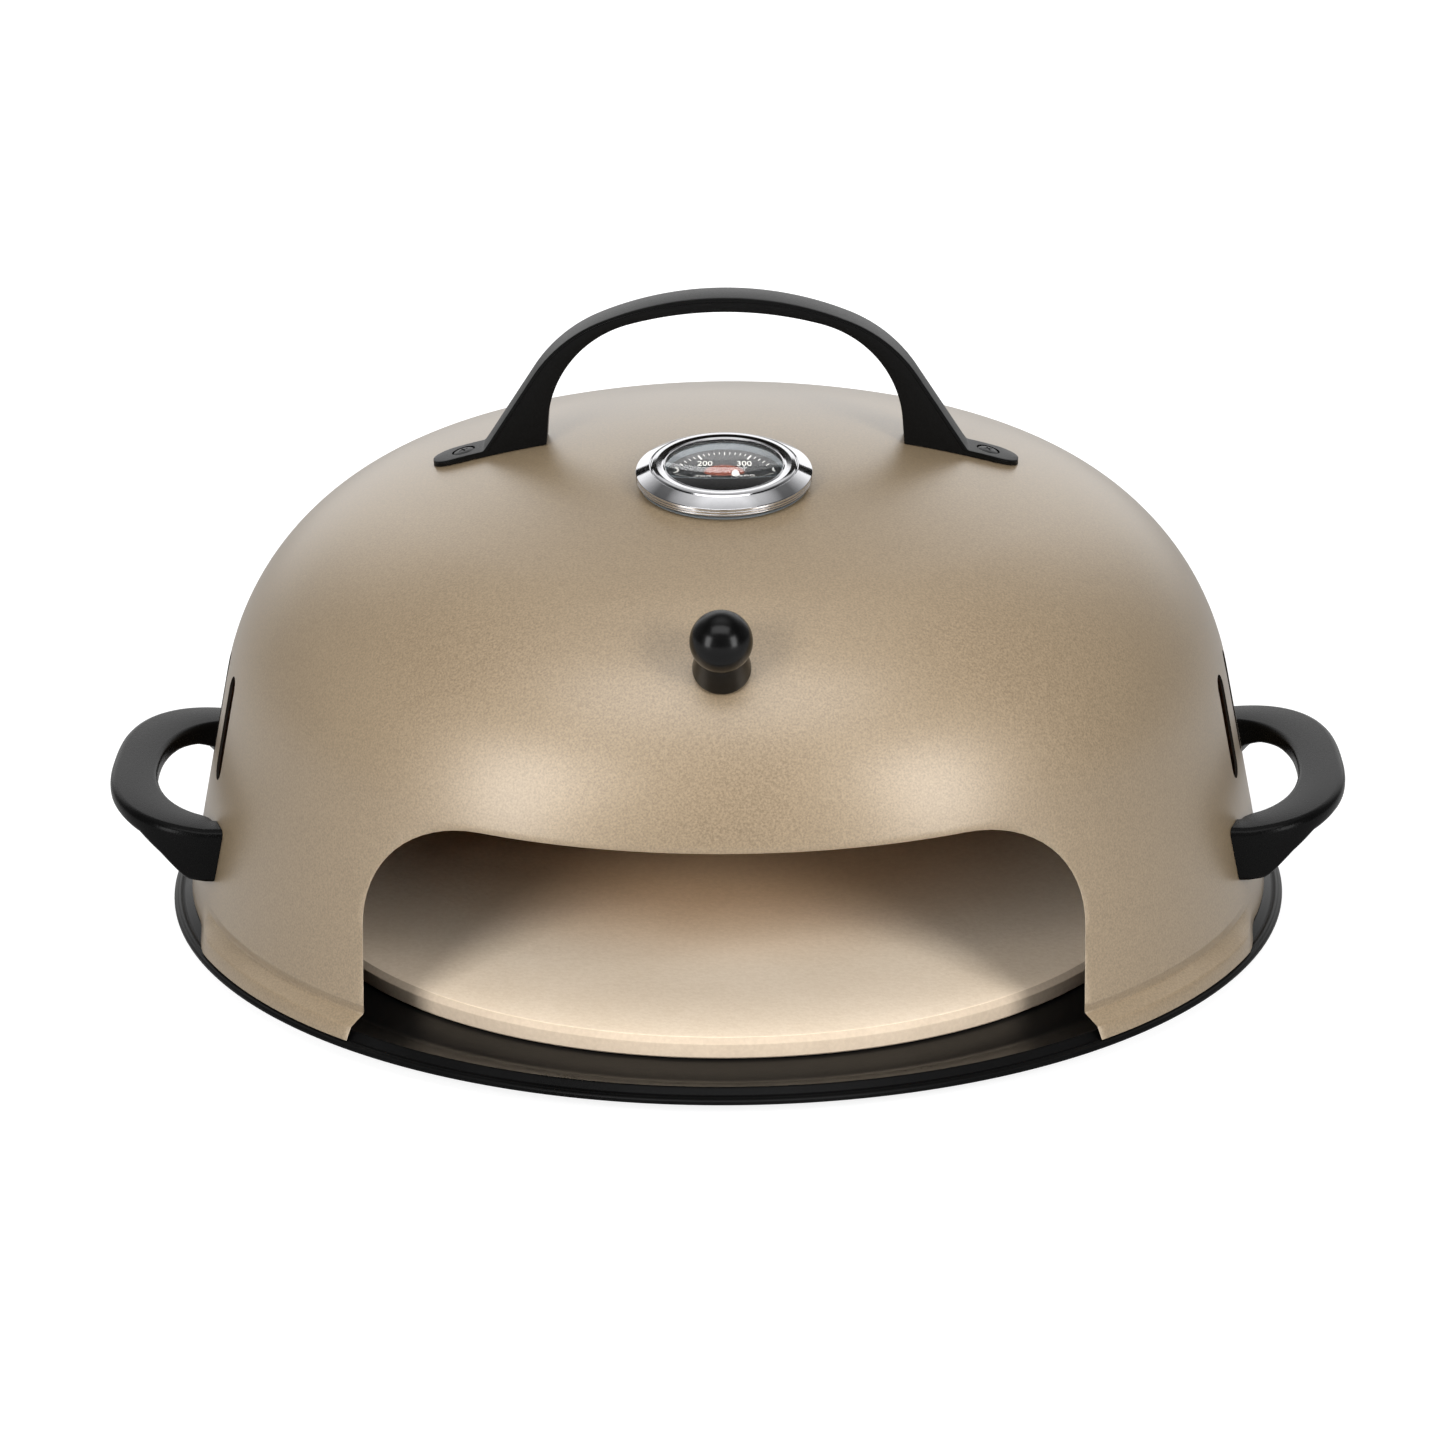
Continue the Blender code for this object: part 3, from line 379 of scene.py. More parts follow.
def grained_finish(
    name, dark, light, rough, grain=900.0, cloud=60.0, grain_share=0.4, depth=0.00001, **fixed,
):
    """A finish whose colour, roughness and relief follow a fine grain and a slow cloud."""
    material, tree, shader = new_finish(name, **fixed)
    specks = add_node(tree, "ShaderNodeGroup", {"Scale": grain}, node_tree=fine_grain)
    clouds = add_node(tree, "ShaderNodeGroup", {"Scale": cloud}, node_tree=slow_cloud)
    both = mixed(tree, grain_share, clouds.outputs["Shade"], specks.outputs["Shade"])
    relief = add_node(tree, "ShaderNodeBump", {
        "Strength": 1.0, "Distance": depth, "Height": specks.outputs["Height"],
    })
    tree.links.new(mixed_colour(tree, both, dark, light), shader.inputs["Base Color"])
    tree.links.new(spread(tree, both, (0.0, 1.0), rough), shader.inputs["Roughness"])
    tree.links.new(relief.outputs["Normal"], shader.inputs["Normal"])
    return material


pan_profile = rounded([
    *((x, pan_sheet, 0.0) for x in (0.0, 0.06, 0.12, 0.16)),
    (pan_floor_radius, pan_sheet, pan_floor_fillet),
    (pan_ridge_radius, pan_ridge_height, pan_ridge_fillet),
    (pan_brim_radius, pan_brim_height, pan_brim_bend),
    *((bead_radius + x, pan_brim_height + bead_height * y, 0.0) for x, y in bead_form),
    (pan_radius, pan_brim_height, pan_edge_fillet),
    (pan_radius, pan_brim_height - pan_edge_drop, 0.0),
], 8)
black_enamel = grained_finish(
    "black_enamel", (0.002, 0.002, 0.002), (0.005, 0.005, 0.005), (0.26, 0.36),
    grain=700.0, cloud=9.0, grain_share=0.25, depth=0.00002, Specular_IOR_Level=0.12,
)
pan = make_piece("enamelled_pan", turned_shape(pan_profile, 288), black_enamel)
sheet_metal(pan, pan_sheet)
settle(pan)
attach(pan, "base")
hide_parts("base_pan")

# Pizza stone: a pressed and fired cordierite disc, porous and sandy, with a worn bevel
# round its upper edge. A brown painted shade toward the rear stands for the dome's shadow,
# and the bevel and side are painted darker as shade. It lies loose on the pan's floor.
stone_radius = 0.1900
stone_low = 0.0015
stone_high = 0.0105
stone_bevel = 0.0024
stone_wear = 0.0009
stone_foot_bevel = 0.0008
stone_foot_wear = 0.0003
shaded_rim_slope = 0.85
shade_centre = (0.0, 0.055, 0.01)
shade_inner_radius = 0.075
shade_outer_radius = 0.185

stone_profile = rounded([
    (0.0, stone_low, 0.0),
    (stone_radius - stone_foot_bevel, stone_low, stone_foot_wear),
    (stone_radius, stone_low + stone_foot_bevel, stone_foot_wear),
    (stone_radius, stone_high - stone_bevel, stone_wear),
    (stone_radius - stone_bevel, stone_high, stone_wear),
    (stone_radius * 0.9, stone_high, 0.0),
    (stone_radius * 0.5, stone_high, 0.0),
    (0.0, stone_high, 0.0),
], 5)
cordierite = grained_finish(
    "cordierite", (0.80, 0.655, 0.49), (0.92, 0.78, 0.615), (0.86, 0.95),
    grain=520.0, cloud=16.0, grain_share=0.55, depth=0.00012, Specular_IOR_Level=0.08,
)
# A darker copy of the stone's finish for its bevel and side: painted shade.
shaded_rim = grained_finish(
    "shaded_rim", (0.53, 0.43, 0.325), (0.63, 0.52, 0.40), (0.88, 0.96),
    grain=520.0, cloud=30.0, grain_share=0.55, depth=0.00010, Specular_IOR_Level=0.05,
)
# Painted shade: the colour is multiplied toward brown round a spot inside the dome.
tree = cordierite.node_tree
painted_shade_share = spread(
    tree, distance_from(tree, shade_centre),
    (shade_inner_radius, shade_outer_radius), (1.0, 0.0), "SMOOTHSTEP",
)
shader = tree.nodes["Principled BSDF"]
fired = shader.inputs["Base Color"].links[0].from_socket
shaded_stone_colour = mixed_colour(tree, painted_shade_share, fired, (1.0, 0.79, 0.60), "MULTIPLY")
tree.links.new(shaded_stone_colour, shader.inputs["Base Color"])
stone = make_piece("baking_stone", turned_shape(stone_profile, 240), cordierite, shaded_rim)
# Faces steeper than the slope take the darker copy, painted shade on bevel and side.
for face in stone.data.polygons:
    if abs(face.normal.z) < shaded_rim_slope:
        face.material_index = 1
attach(stone, "stone")
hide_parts("pizza_stone")

# Dome: one skin spun and pressed from sheet steel, with its foot stepped out over the
# pan's ridge at front and rear. Mouth, vent slots and screw holes are punched, then the
# outside is sprayed in a fine metallic bronze and baked. Use tints the inside brown.
dome_height = 0.2078
dome_crown_radius = 0.4490
dome_shoulder_radius = 0.1126
dome_wall_radius = 0.2390
dome_draft = math.radians(11.2)
dome_sheet = 0.0012
dome_rim_height = 0.003225
flange_crease_height = 0.0100
foot_top_height = flange_crease_height + 0.0060
groove_top_height = flange_crease_height + 0.0039
groove_bend = 0.0030
flange_corners = (
    (-0.0013, flange_crease_height - 0.0001, 0.0013),
    (0.0056, 0.0064, 0.0021),
    (0.0078, 0.0008, 0.0),
)
flange_end_angle = math.radians(70.0)
flange_blend_angle = math.radians(8.0)
mouth_half_width = 0.1486
mouth_height = 0.0960
mouth_corner_radius = 0.0500
mouth_flare_height = 0.0102
mouth_flare_bend = 0.0022
mouth_foot_steps = ((0.0050, 0.0064), (0.0070, 0.0008), (0.0082, -0.0060))
mouth_foot_bend = 0.0012
slot_count = 4
slot_width = 0.0132
slot_length = 0.0473
slot_height = 0.0856
slot_pitch_angle = math.radians(8.3)
tab_screw_radius = 0.1130
knob_place_radius = 0.1839
loop_screw_height = 0.0370
loop_screw_angle = math.radians(17.5)
bore_radius = 0.0029
dial_place_radius = 0.0652
dial_bore_radius = 0.0270
punch_low, punch_high = -0.007, 0.006
edge_break = 0.0003


def wall_radius(height):
    """Outside radius of the straight wall at a height above the brim."""
    return dome_wall_radius - height * math.tan(dome_draft)


def arched_side(
    top, crown_radius, shoulder_radius, foot_x, foot_y, lean, crown_steps=30, shoulder_steps=24,
):
    """Half of an arch, top to foot: crown arc, shoulder arc and a leg that leans in."""
    reach = crown_radius - shoulder_radius
    low, high = 0.0, math.pi / 2.0 - lean
    for _ in range(60):
        join = (low + high) / 2.0
        centre_x = reach * math.sin(join)
        centre_y = top - crown_radius + reach * math.cos(join)
        leg_x = foot_x - (centre_y - foot_y) * math.tan(lean)
        if (leg_x - centre_x) * math.cos(lean) > shoulder_radius:
            low = join
        else:
            high = join
    upright = math.pi / 2.0
    crown = arc(0.0, top - crown_radius, crown_radius, upright, upright - join, crown_steps)
    shoulder = arc(centre_x, centre_y, shoulder_radius, upright - join, lean, shoulder_steps)
    return crown + shoulder[1:] + [(foot_x, foot_y)]


def dome_outline(low, crown_steps=26, shoulder_steps=30):
    """Outside profile of the dome above the brim, from the top down to a height."""
    return arched_side(
        dome_height, dome_crown_radius, dome_shoulder_radius,
        wall_radius(low), low, dome_draft, crown_steps, shoulder_steps,
    )


def frame_on(point, normal, across):
    """A frame at a point with Z along the normal and X as near across as it can be."""
    z_axis = normal.normalized()
    y_axis = z_axis.cross(across).normalized()
    x_axis = y_axis.cross(z_axis)
    return Matrix.Translation(point) @ Matrix((x_axis, y_axis, z_axis)).transposed().to_4x4()


def dome_frame(radius, azimuth):
    """Frame on the dome's outside, Z along the normal. Azimuth turns from front to right."""
    outline = dome_outline(flange_crease_height, 60, 120)
    for (r_high, z_high), (r_low, z_low) in zip(outline, outline[1:]):
        if r_high <= radius <= r_low:
            height = z_high + (radius - r_high) / (r_low - r_high) * (z_low - z_high)
            slope = Vector((z_high - z_low, r_low - r_high)).normalized()
            break
    outward = Vector((math.sin(azimuth), -math.cos(azimuth), 0.0))
    across = Vector((math.cos(azimuth), math.sin(azimuth), 0.0))
    point = outward * radius + Vector((0.0, 0.0, pan_brim_height + height))
    return frame_on(point, outward * slope.x + Vector((0.0, 0.0, slope.y)), across)


def flange_share(azimuth):
    """How far the flange is pressed out at an azimuth, from none (0) to full (1)."""
    from_middle = abs(math.remainder(azimuth, math.pi))
    share = (flange_end_angle + flange_blend_angle / 2.0 - from_middle) / flange_blend_angle
    share = min(max(share, 0.0), 1.0)
    return share * share * (3.0 - 2.0 * share)


def foot_rows():
    """The foot's rows, as a plain rim and as the pressed flange: (radius, height) each."""
    at_crease = wall_radius(flange_crease_height)
    pressed = rounded([
        (wall_radius(foot_top_height), foot_top_height, 0.0),
        (wall_radius(groove_top_height), groove_top_height, groove_bend),
    ] + [(at_crease + out, height, bend) for out, height, bend in flange_corners], 5)
    lengths = [0.0]
    for near, far in zip(pressed, pressed[1:]):
        lengths.append(lengths[-1] + math.dist(near, far))
    rows = []
    for point, run in zip(pressed, lengths):
        height = foot_top_height + run / lengths[-1] * (dome_rim_height - foot_top_height)
        rows.append(((wall_radius(height), height), point))
    return rows


def dome_skin(around=300):
    """The dome's outside, top to rim, with the flange pressed out of its foot."""
    feet = foot_rows()
    upper = dome_outline(feet[0][0][1])
    last_arc, wall_foot = upper[-2], upper[-1]
    wall = [Vector(last_arc).lerp(Vector(wall_foot), step / 10.0) for step in range(1, 10)]
    rows = [(point, point) for point in upper[1:-1] + wall] + feet
    shape = bmesh.new()
    top = shape.verts.new((0.0, 0.0, pan_brim_height + dome_height))
    rings = []
    for plain, pressed in rows:
        ring = []
        for step in range(around):
            azimuth = math.tau * (step + 0.5) / around
            radius, height = Vector(plain).lerp(Vector(pressed), flange_share(azimuth))
            ring.append(shape.verts.new((
                radius * math.sin(azimuth), -radius * math.cos(azimuth), pan_brim_height + height,
            )))
        rings.append(ring)
    for step in range(around):
        shape.faces.new((top, rings[0][step - 1], rings[0][step]))
    for high, low in zip(rings, rings[1:]):
        for step in range(around):
            shape.faces.new((high[step - 1], low[step - 1], low[step], high[step]))
    bmesh.ops.recalc_face_normals(shape, faces=shape.faces)
    if max(shape.faces, key=lambda face: face.calc_center_median().z).normal.z < 0.0:
        bmesh.ops.reverse_faces(shape, faces=shape.faces)
    return shape


def hole(radius, steps, start=0.1):
    """A round outline, begun off the axis so that no corner meets an edge of the skin."""
    return arc(0.0, 0.0, radius, start, start + math.tau, steps)[:-1]


def add_punch(shape, outline, low, high, place):
    """Extrude an outline in the place's XY plane from low to high along its Z."""
    verts = [shape.verts.new(place @ Vector((x, y, low))) for x, y in outline]
    face = shape.faces.new(verts)
    raised = bmesh.ops.extrude_face_region(shape, geom=[face])
    moved = [item for item in raised["geom"] if isinstance(item, bmesh.types.BMVert)]
    bmesh.ops.translate(shape, verts=moved, vec=place.to_3x3() @ Vector((0.0, 0.0, high - low)))


def punch_out(piece, shape, material):
    """Cut the shape out of the piece, the cut faces in their own material."""
    bmesh.ops.recalc_face_normals(shape, faces=shape.faces)
    punch = make_piece("punch", shape, material)
    cut = piece.modifiers.new("punch", "BOOLEAN")
    cut.operation = "DIFFERENCE"
    cut.object = punch
    cut.material_mode = "TRANSFER"
    settle(piece)
    bpy.data.objects.remove(punch, do_unlink=True)


def soft_edges(piece, size):
    """Break the edges between the skin and its punched faces, as paint fills them; the new faces
    take the lighter edge finish, a painted highlight.
    """
    shape = bmesh.new()
    shape.from_mesh(piece.data)
    bmesh.ops.remove_doubles(shape, verts=shape.verts, dist=0.00004)
    rims = []
    for edge in shape.edges:
        finishes = {face.material_index for face in edge.link_faces}
        if len(edge.link_faces) == len(finishes) == 2 and 1 in finishes:
            if edge.calc_face_angle() > 0.5:
                rims.append(edge)
    bmesh.ops.bevel(
        shape, geom=rims, offset=size, segments=2, profile=0.5, affect="EDGES",
        clamp_overlap=True, material=1,
    )
    shape.to_mesh(piece.data)
    shape.free()
    smooth(piece.data, 40.0)


bronze_paint = grained_finish(
    "bronze_paint", (0.180, 0.131, 0.078), (0.308, 0.231, 0.143), (0.40, 0.48),
    grain=1150.0, cloud=7.0, grain_share=0.84, depth=0.00003, Metallic=0.15,
    Specular_IOR_Level=0.8, Coat_Weight=1.0, Coat_Roughness=0.34,
)
# Lighter finish for the mouth's cut faces, the sheet's rim and broken edges: a painted highlight.
edge_highlight = grained_finish(
    "edge_highlight", (0.50, 0.43, 0.33), (0.62, 0.54, 0.43), (0.28, 0.36),
    grain=1500.0, cloud=20.0, grain_share=0.5, Metallic=0.40,
)
heat_tinted = grained_finish(
    "heat_tinted", (0.080, 0.034, 0.012), (0.130, 0.060, 0.022), (0.50, 0.62),
    grain=1300.0, cloud=9.0, grain_share=0.45, depth=0.00003, Metallic=0.2,
    Specular_IOR_Level=0.2,
)
# Near-black finish for the vent slots' cut faces: painted shade, so the slots read dark.
slot_shade = grained_finish(
    "slot_shade", (0.006, 0.004, 0.003), (0.012, 0.009, 0.006), (0.60, 0.70),
    grain=1300.0, cloud=30.0, grain_share=0.5, depth=0.00002, Specular_IOR_Level=0.2,
)

dome = make_piece(
    "painted_dome", dome_skin(), bronze_paint, edge_highlight, heat_tinted, slot_shade,
)
sheet_metal(dome, dome_sheet)
dome.modifiers["sheet"].material_offset = 2
# The sheet's rim takes the lighter finish, a painted edge highlight.
dome.modifiers["sheet"].material_offset_rim = 1
settle(dome)

half_mouth = rounded([
    (0.0, pan_brim_height + mouth_height, 0.0),
    (mouth_half_width, pan_brim_height + mouth_height, mouth_corner_radius),
    (mouth_half_width, pan_brim_height + mouth_flare_height, mouth_flare_bend),
    *(
        (mouth_half_width + out, pan_brim_height + height, mouth_foot_bend)
        for out, height in mouth_foot_steps
    ),
], 16)[1:]
mouth_outline = half_mouth + [(-x, z) for x, z in reversed(half_mouth)]
mouth_punch = bmesh.new()
front = frame_on(Vector((0.0, 0.0, 0.0)), Vector((0.0, -1.0, 0.0)), Vector((1.0, 0.0, 0.0)))
add_punch(mouth_punch, mouth_outline, 0.0, dome_wall_radius + 0.02, front)

slot_punch = bmesh.new()
half_straight = (slot_length - slot_width) / 2.0
slot_outline = arc(0.0, half_straight, slot_width / 2.0, 0.0, math.pi, 12)
slot_outline += arc(0.0, -half_straight, slot_width / 2.0, math.pi, math.tau, 12)
for side in (-1.0, 1.0):
    for index in range(slot_count):
        azimuth = side * (math.pi / 2.0 + (index - (slot_count - 1) / 2.0) * slot_pitch_angle)
        place = dome_frame(wall_radius(slot_height), azimuth)
        add_punch(slot_punch, slot_outline, punch_low, punch_high, place)

bore_punch = bmesh.new()
fixing_places = {
    "top_handle_left": dome_frame(tab_screw_radius, -math.pi / 2.0),
    "top_handle_right": dome_frame(tab_screw_radius, math.pi / 2.0),
    "front_knob": dome_frame(knob_place_radius, 0.0),
}
for side_name, side in (("left", -1.0), ("right", 1.0)):
    for end_name, end in (("front", -1.0), ("rear", 1.0)):
        azimuth = side * (math.pi / 2.0 + end * loop_screw_angle)
        place = dome_frame(wall_radius(loop_screw_height), azimuth)
        fixing_places[f"{side_name}_side_handle_{end_name}"] = place
for place in fixing_places.values():
    add_punch(bore_punch, hole(bore_radius, 24), punch_low, punch_high, place)
dial_place = dome_frame(dial_place_radius, 0.0)
add_punch(bore_punch, hole(dial_bore_radius, 64, 0.05), punch_low, punch_high, dial_place)

punch_out(dome, mouth_punch, edge_highlight)
punch_out(dome, bore_punch, heat_tinted)
# The slots' cut faces take the near-black painted shade.
punch_out(dome, slot_punch, slot_shade)
soft_edges(dome, edge_break)
shone = bpy.data.collections.new("shone")
shone.objects.link(dome)
for box in shine_boxes:
    box.light_linking.receiver_collection = shone
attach(dome, "dome")
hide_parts("dome_shell")

# Top handle: one arched moulding in black nylon with a barely crowned back and a lip along
# both flanks. Its feet run out into thin tabs that follow the dome's crown and are screwed
# through the skin, with the screw heads let in.
seat_gap = 0.0003
grip_half_width = 0.0090
grip_top_height = 0.2670
grip_thickness = 0.0067
grip_back_radius = 0.1400
grip_back_shoulder = 0.0640
grip_outer_foot = 0.1048
grip_outer_lean = math.radians(33.0)
grip_belly_radius = 0.1580
grip_belly_shoulder = 0.0477
grip_inner_foot = 0.0772
grip_inner_lean = math.radians(4.2)
grip_edge = 0.0005
grip_lip = 0.0016
grip_lip_slope = 0.0003
grip_crown = 0.0004
grip_root_length = 0.0080
grip_root_bend = 0.0030
tab_reach = 0.1268
tab_thickness = 0.0028
tab_end_radius = 0.0080
tab_crown = 0.0003
tab_stations = (
    0.1100, 0.1130, 0.1160, 0.1188, 0.1200, 0.1215, 0.1230, 0.1243, 0.1253, 0.1261, 0.1266,
    tab_reach,
)
arch_steps = 64
crown_fade_start = 46
head_pocket_radius = 0.0052
head_seat_height = 0.0019


def crown_height(radius):
    """Outside height of the crown's arc above the brim, at a radius."""
    return dome_height - dome_crown_radius + math.sqrt(dome_crown_radius**2 - radius**2)


def even_points(path, count):
    """The path's points spread evenly along it."""
    runs = [0.0]
    for near, far in zip(path, path[1:]):
        runs.append(runs[-1] + math.dist(near, far))
    points, index = [], 0
    for step in range(count + 1):
        run = runs[-1] * step / count
        while index < len(path) - 2 and runs[index + 1] < run:
            index += 1
        share = (run - runs[index]) / (runs[index + 1] - runs[index])
        points.append(tuple(Vector(path[index]).lerp(Vector(path[index + 1]), share)))
    return points


def lofted(sections):
    """A closed skin through loops of the same count, capped at both ends."""
    shape = bmesh.new()
    rings = [[shape.verts.new(point) for point in section] for section in sections]
    for near, far in zip(rings, rings[1:]):
        for index in range(len(near)):
            shape.faces.new((near[index - 1], near[index], far[index], far[index - 1]))
    shape.faces.new(rings[0])
    shape.faces.new(rings[-1])
    bmesh.ops.recalc_face_normals(shape, faces=shape.faces)
    return shape


def grip_section(inner, outer, half_width, crown):
    """A loop across the handle: flat inside, lipped flanks and a crowned back."""
    (inner_x, inner_z), (outer_x, outer_z) = inner, outer
    depth = math.dist(inner, outer)
    up = ((outer_x - inner_x) / depth, (outer_z - inner_z) / depth)
    edge = min(grip_edge, half_width * 0.3)
    rim = depth - crown
    lip = rim - min(grip_lip, rim * 0.3)
    flank = half_width - grip_edge
    corners = [
        (-half_width, lip, 0.0), (-flank, lip - grip_lip_slope, 0.0), (-flank, 0.0, edge),
        (flank, 0.0, edge), (flank, lip - grip_lip_slope, 0.0), (half_width, lip, 0.0),
        (half_width, rim, edge),
    ]
    for share in (0.8, 0.6, 0.4, 0.2, 0.0, -0.2, -0.4, -0.6, -0.8):
        corners.append((half_width * share, depth - crown * share * share, 0.0))
    corners.append((-half_width, rim, edge))
    return [
        Vector((inner_x + up[0] * rise, across, pan_brim_height + inner_z + up[1] * rise))
        for across, rise in rounded(corners, 3, closed=True)
    ]


def grip_sections():
    """Loops across the handle from the left tab's end over the arch to the right one's."""
    outer_arch = arched_side(
        grip_top_height, grip_back_radius, grip_back_shoulder, grip_outer_foot,
        crown_height(grip_outer_foot) + seat_gap + tab_thickness, grip_outer_lean,
    )
    inner_arch = arched_side(
        grip_top_height - grip_thickness, grip_belly_radius, grip_belly_shoulder, grip_inner_foot,
        crown_height(grip_inner_foot) + seat_gap, grip_inner_lean,
    )
    foot = Vector(outer_arch[-1])
    leg = (Vector(outer_arch[-2]) - foot).normalized()
    tab_run = Vector((tab_reach, crown_height(tab_reach) + seat_gap + tab_thickness))
    root = rounded([
        (*(foot + leg * grip_root_length), 0.0),
        (*foot, grip_root_bend),
        (*foot.lerp(tab_run, 0.35), 0.0),
    ], 6)
    outer_arch = [point for point in outer_arch[:-1] if point[1] > root[0][1]] + root[:4]
    outer = even_points(outer_arch, arch_steps)
    inner = even_points(inner_arch, arch_steps)
    tab_top = root[3:-1] + [(x, crown_height(x) + seat_gap + tab_thickness) for x in tab_stations]
    tab_start = tab_top[0][0]
    under = []
    for index, (x, _) in enumerate(tab_top):
        share = (x - tab_start) / (tab_reach - tab_start)
        from_foot = grip_inner_foot + share * (tab_reach - grip_inner_foot)
        low_x = from_foot + index / (len(tab_top) - 1) * (x - from_foot)
        under.append((low_x, crown_height(low_x) + seat_gap))
    right = []
    for index in range(len(outer)):
        fade = max((index - crown_fade_start) / (arch_steps - crown_fade_start), 0.0)
        crown = grip_crown + fade * (tab_crown - grip_crown)
        right.append((inner[index], outer[index], grip_half_width, crown))
    for top, low in list(zip(tab_top, under))[1:]:
        past = max(top[0] - (tab_reach - tab_end_radius), 0.0)
        narrow = tab_end_radius - math.sqrt(max(tab_end_radius**2 - past**2, 0.0))
        right.append((low, top, grip_half_width - narrow, tab_crown))
    left = [((-i[0], i[1]), (-o[0], o[1]), w, c) for i, o, w, c in reversed(right[1:])]
    return [grip_section(*section) for section in left + right]


black_nylon = grained_finish(
    "black_nylon", (0.002, 0.002, 0.002), (0.004, 0.004, 0.004), (0.28, 0.38),
    grain=1100.0, cloud=14.0, grain_share=0.6, depth=0.00006, Specular_IOR_Level=0.13,
)
grip = make_piece("top_grip", lofted(grip_sections()), black_nylon)
bores = bmesh.new()
for end in ("left", "right"):
    place = fixing_places[f"top_handle_{end}"]
    add_punch(bores, hole(bore_radius, 24), -0.002, head_seat_height + 0.0005, place)
    add_punch(bores, hole(head_pocket_radius, 32), head_seat_height, 0.009, place)
punch_out(grip, bores, black_nylon)
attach(grip, "dome")
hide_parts("top_handle")

# Side handles: a D-shaped loop each side, moulded in a smoother black nylon with rounded
# edges and rising a little outward. Deep feet follow the dome's wall and hold brass
# inserts that screws from inside run into.
loop_top_height = 0.0492
loop_root_radius = 0.2190
loop_reach = 0.0532
loop_half_width = 0.0775
loop_gap_reach = 0.0332
loop_gap_half_width = 0.0580
loop_roundness = 2.6
loop_gap_roundness = 2.2
loop_rise = 0.13
loop_rise_start = 0.0060
loop_corner = 0.0050
loop_corner_start = 0.0035
loop_outer_bends = (0.0034, 0.0026)
loop_inner_bend = 0.0022
outer_depths = (
    (0.0, 0.0240), (0.0140, 0.0240), (0.0250, 0.0156), (0.0350, 0.0088), (0.0450, 0.0074),
    (0.06, 0.0070),
)
inner_depths = (
    (0.0, 0.0240), (0.0090, 0.0232), (0.0140, 0.0125), (0.0210, 0.0095), (0.0280, 0.0080),
    (0.06, 0.0070),
)
loop_embed = 0.0400
insert_pocket_radius = 0.0041
pocket_start = -0.0060
loop_pocket_end = 0.0105


def loop_point(reach, half_width, roundness, angle):
    """A point of the D, measured from the wall outward and along it."""
    out = reach * max(math.cos(angle), 0.0) ** (2.0 / roundness)
    along = half_width * abs(math.sin(angle)) ** (2.0 / roundness)
    return out, math.copysign(along, angle)


def loop_underside(out, depths):
    """Height of the underside, from a table of (reach from the wall, depth)."""
    for (near, near_depth), (far, far_depth) in zip(depths, depths[1:]):
        if out <= far:
            share = (out - near) / (far - near)
            return loop_top_height - near_depth - share * (far_depth - near_depth)
    return loop_top_height - depths[-1][1]


def loop_section(outer, inner, shift):
    """A loop across the arm, from a point on the D's outside to one on its inside."""
    width = math.dist(outer, inner)
    corners = [
        (0.0, loop_top_height, loop_outer_bends[0]),
        (width, loop_top_height, loop_inner_bend),
        (width, loop_underside(inner[0], inner_depths), loop_inner_bend),
        (0.0, loop_underside(outer[0], outer_depths), loop_outer_bends[1]),
    ]
    points = []
    for run, height in rounded(corners, 5, closed=True):
        out, along = Vector(outer).lerp(Vector(inner), run / width)
        rise = loop_rise * max(out - loop_rise_start, 0.0)
        points.append(Vector((out + shift, along, height + rise)))
    return points


def loop_sections(side, steps=96):
    """Loops along the arm from foot to foot, with a rounded inner corner at each foot."""
    sections = []
    for step in range(steps + 1):
        angle = (step / steps - 0.5) * math.pi
        outer = loop_point(loop_reach, loop_half_width, loop_roundness, angle)
        inner = loop_point(loop_gap_reach, loop_gap_half_width, loop_gap_roundness, angle)
        short = loop_corner - min(max(inner[0] - loop_corner_start, 0.0), loop_corner)
        turned = loop_corner - math.sqrt(loop_corner**2 - short**2)
        inner = (inner[0], inner[1] + math.copysign(turned, angle))
        if step == 0:
            sections.append(loop_section(outer, inner, -loop_embed))
        sections.append(loop_section(outer, inner, 0.0))
    sections.append(loop_section(outer, inner, -loop_embed))
    return [[
        Vector((side * (loop_root_radius + point.x), point.y, pan_brim_height + point.z))
        for point in section
    ] for section in sections]


def dome_form():
    """The dome's outside grown by the seat gap, which the handles' feet are cut to."""
    outline = [(radius + seat_gap, height) for radius, height in dome_outline(dome_rim_height)[1:]]
    profile = [(0.0, dome_height + seat_gap)] + outline + [(0.0, dome_rim_height)]
    profile = [(radius, pan_brim_height + height) for radius, height in profile]
    return turned_shape(profile, 300)


satin_nylon = grained_finish(
    "satin_nylon", (0.002, 0.002, 0.002), (0.003, 0.003, 0.003), (0.22, 0.30),
    grain=1100.0, cloud=14.0, grain_share=0.6, depth=0.00005, Specular_IOR_Level=0.09,
)
for side_name, side in (("left", -1.0), ("right", 1.0)):
    loop = make_piece(f"{side_name}_loop", lofted(loop_sections(side)), satin_nylon)
    punch_out(loop, dome_form(), satin_nylon)
    pockets = bmesh.new()
    outline = hole(insert_pocket_radius, 20)
    for end_name in ("front", "rear"):
        place = fixing_places[f"{side_name}_side_handle_{end_name}"]
        add_punch(pockets, outline, pocket_start, loop_pocket_end, place)
    punch_out(loop, pockets, satin_nylon)
    shone.objects.link(loop)
    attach(loop, "dome")
    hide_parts(f"{side_name}_side_handle")

# Lifting knob: a ball on a short waist, moulded in black phenolic and tumbled to a gloss.
# A screw from inside the dome runs into its brass insert.
ball_radius = 0.0127
ball_height = 0.0238
waist_radius = 0.0105
neck_share = 0.90
knob_pocket_end = 0.0099

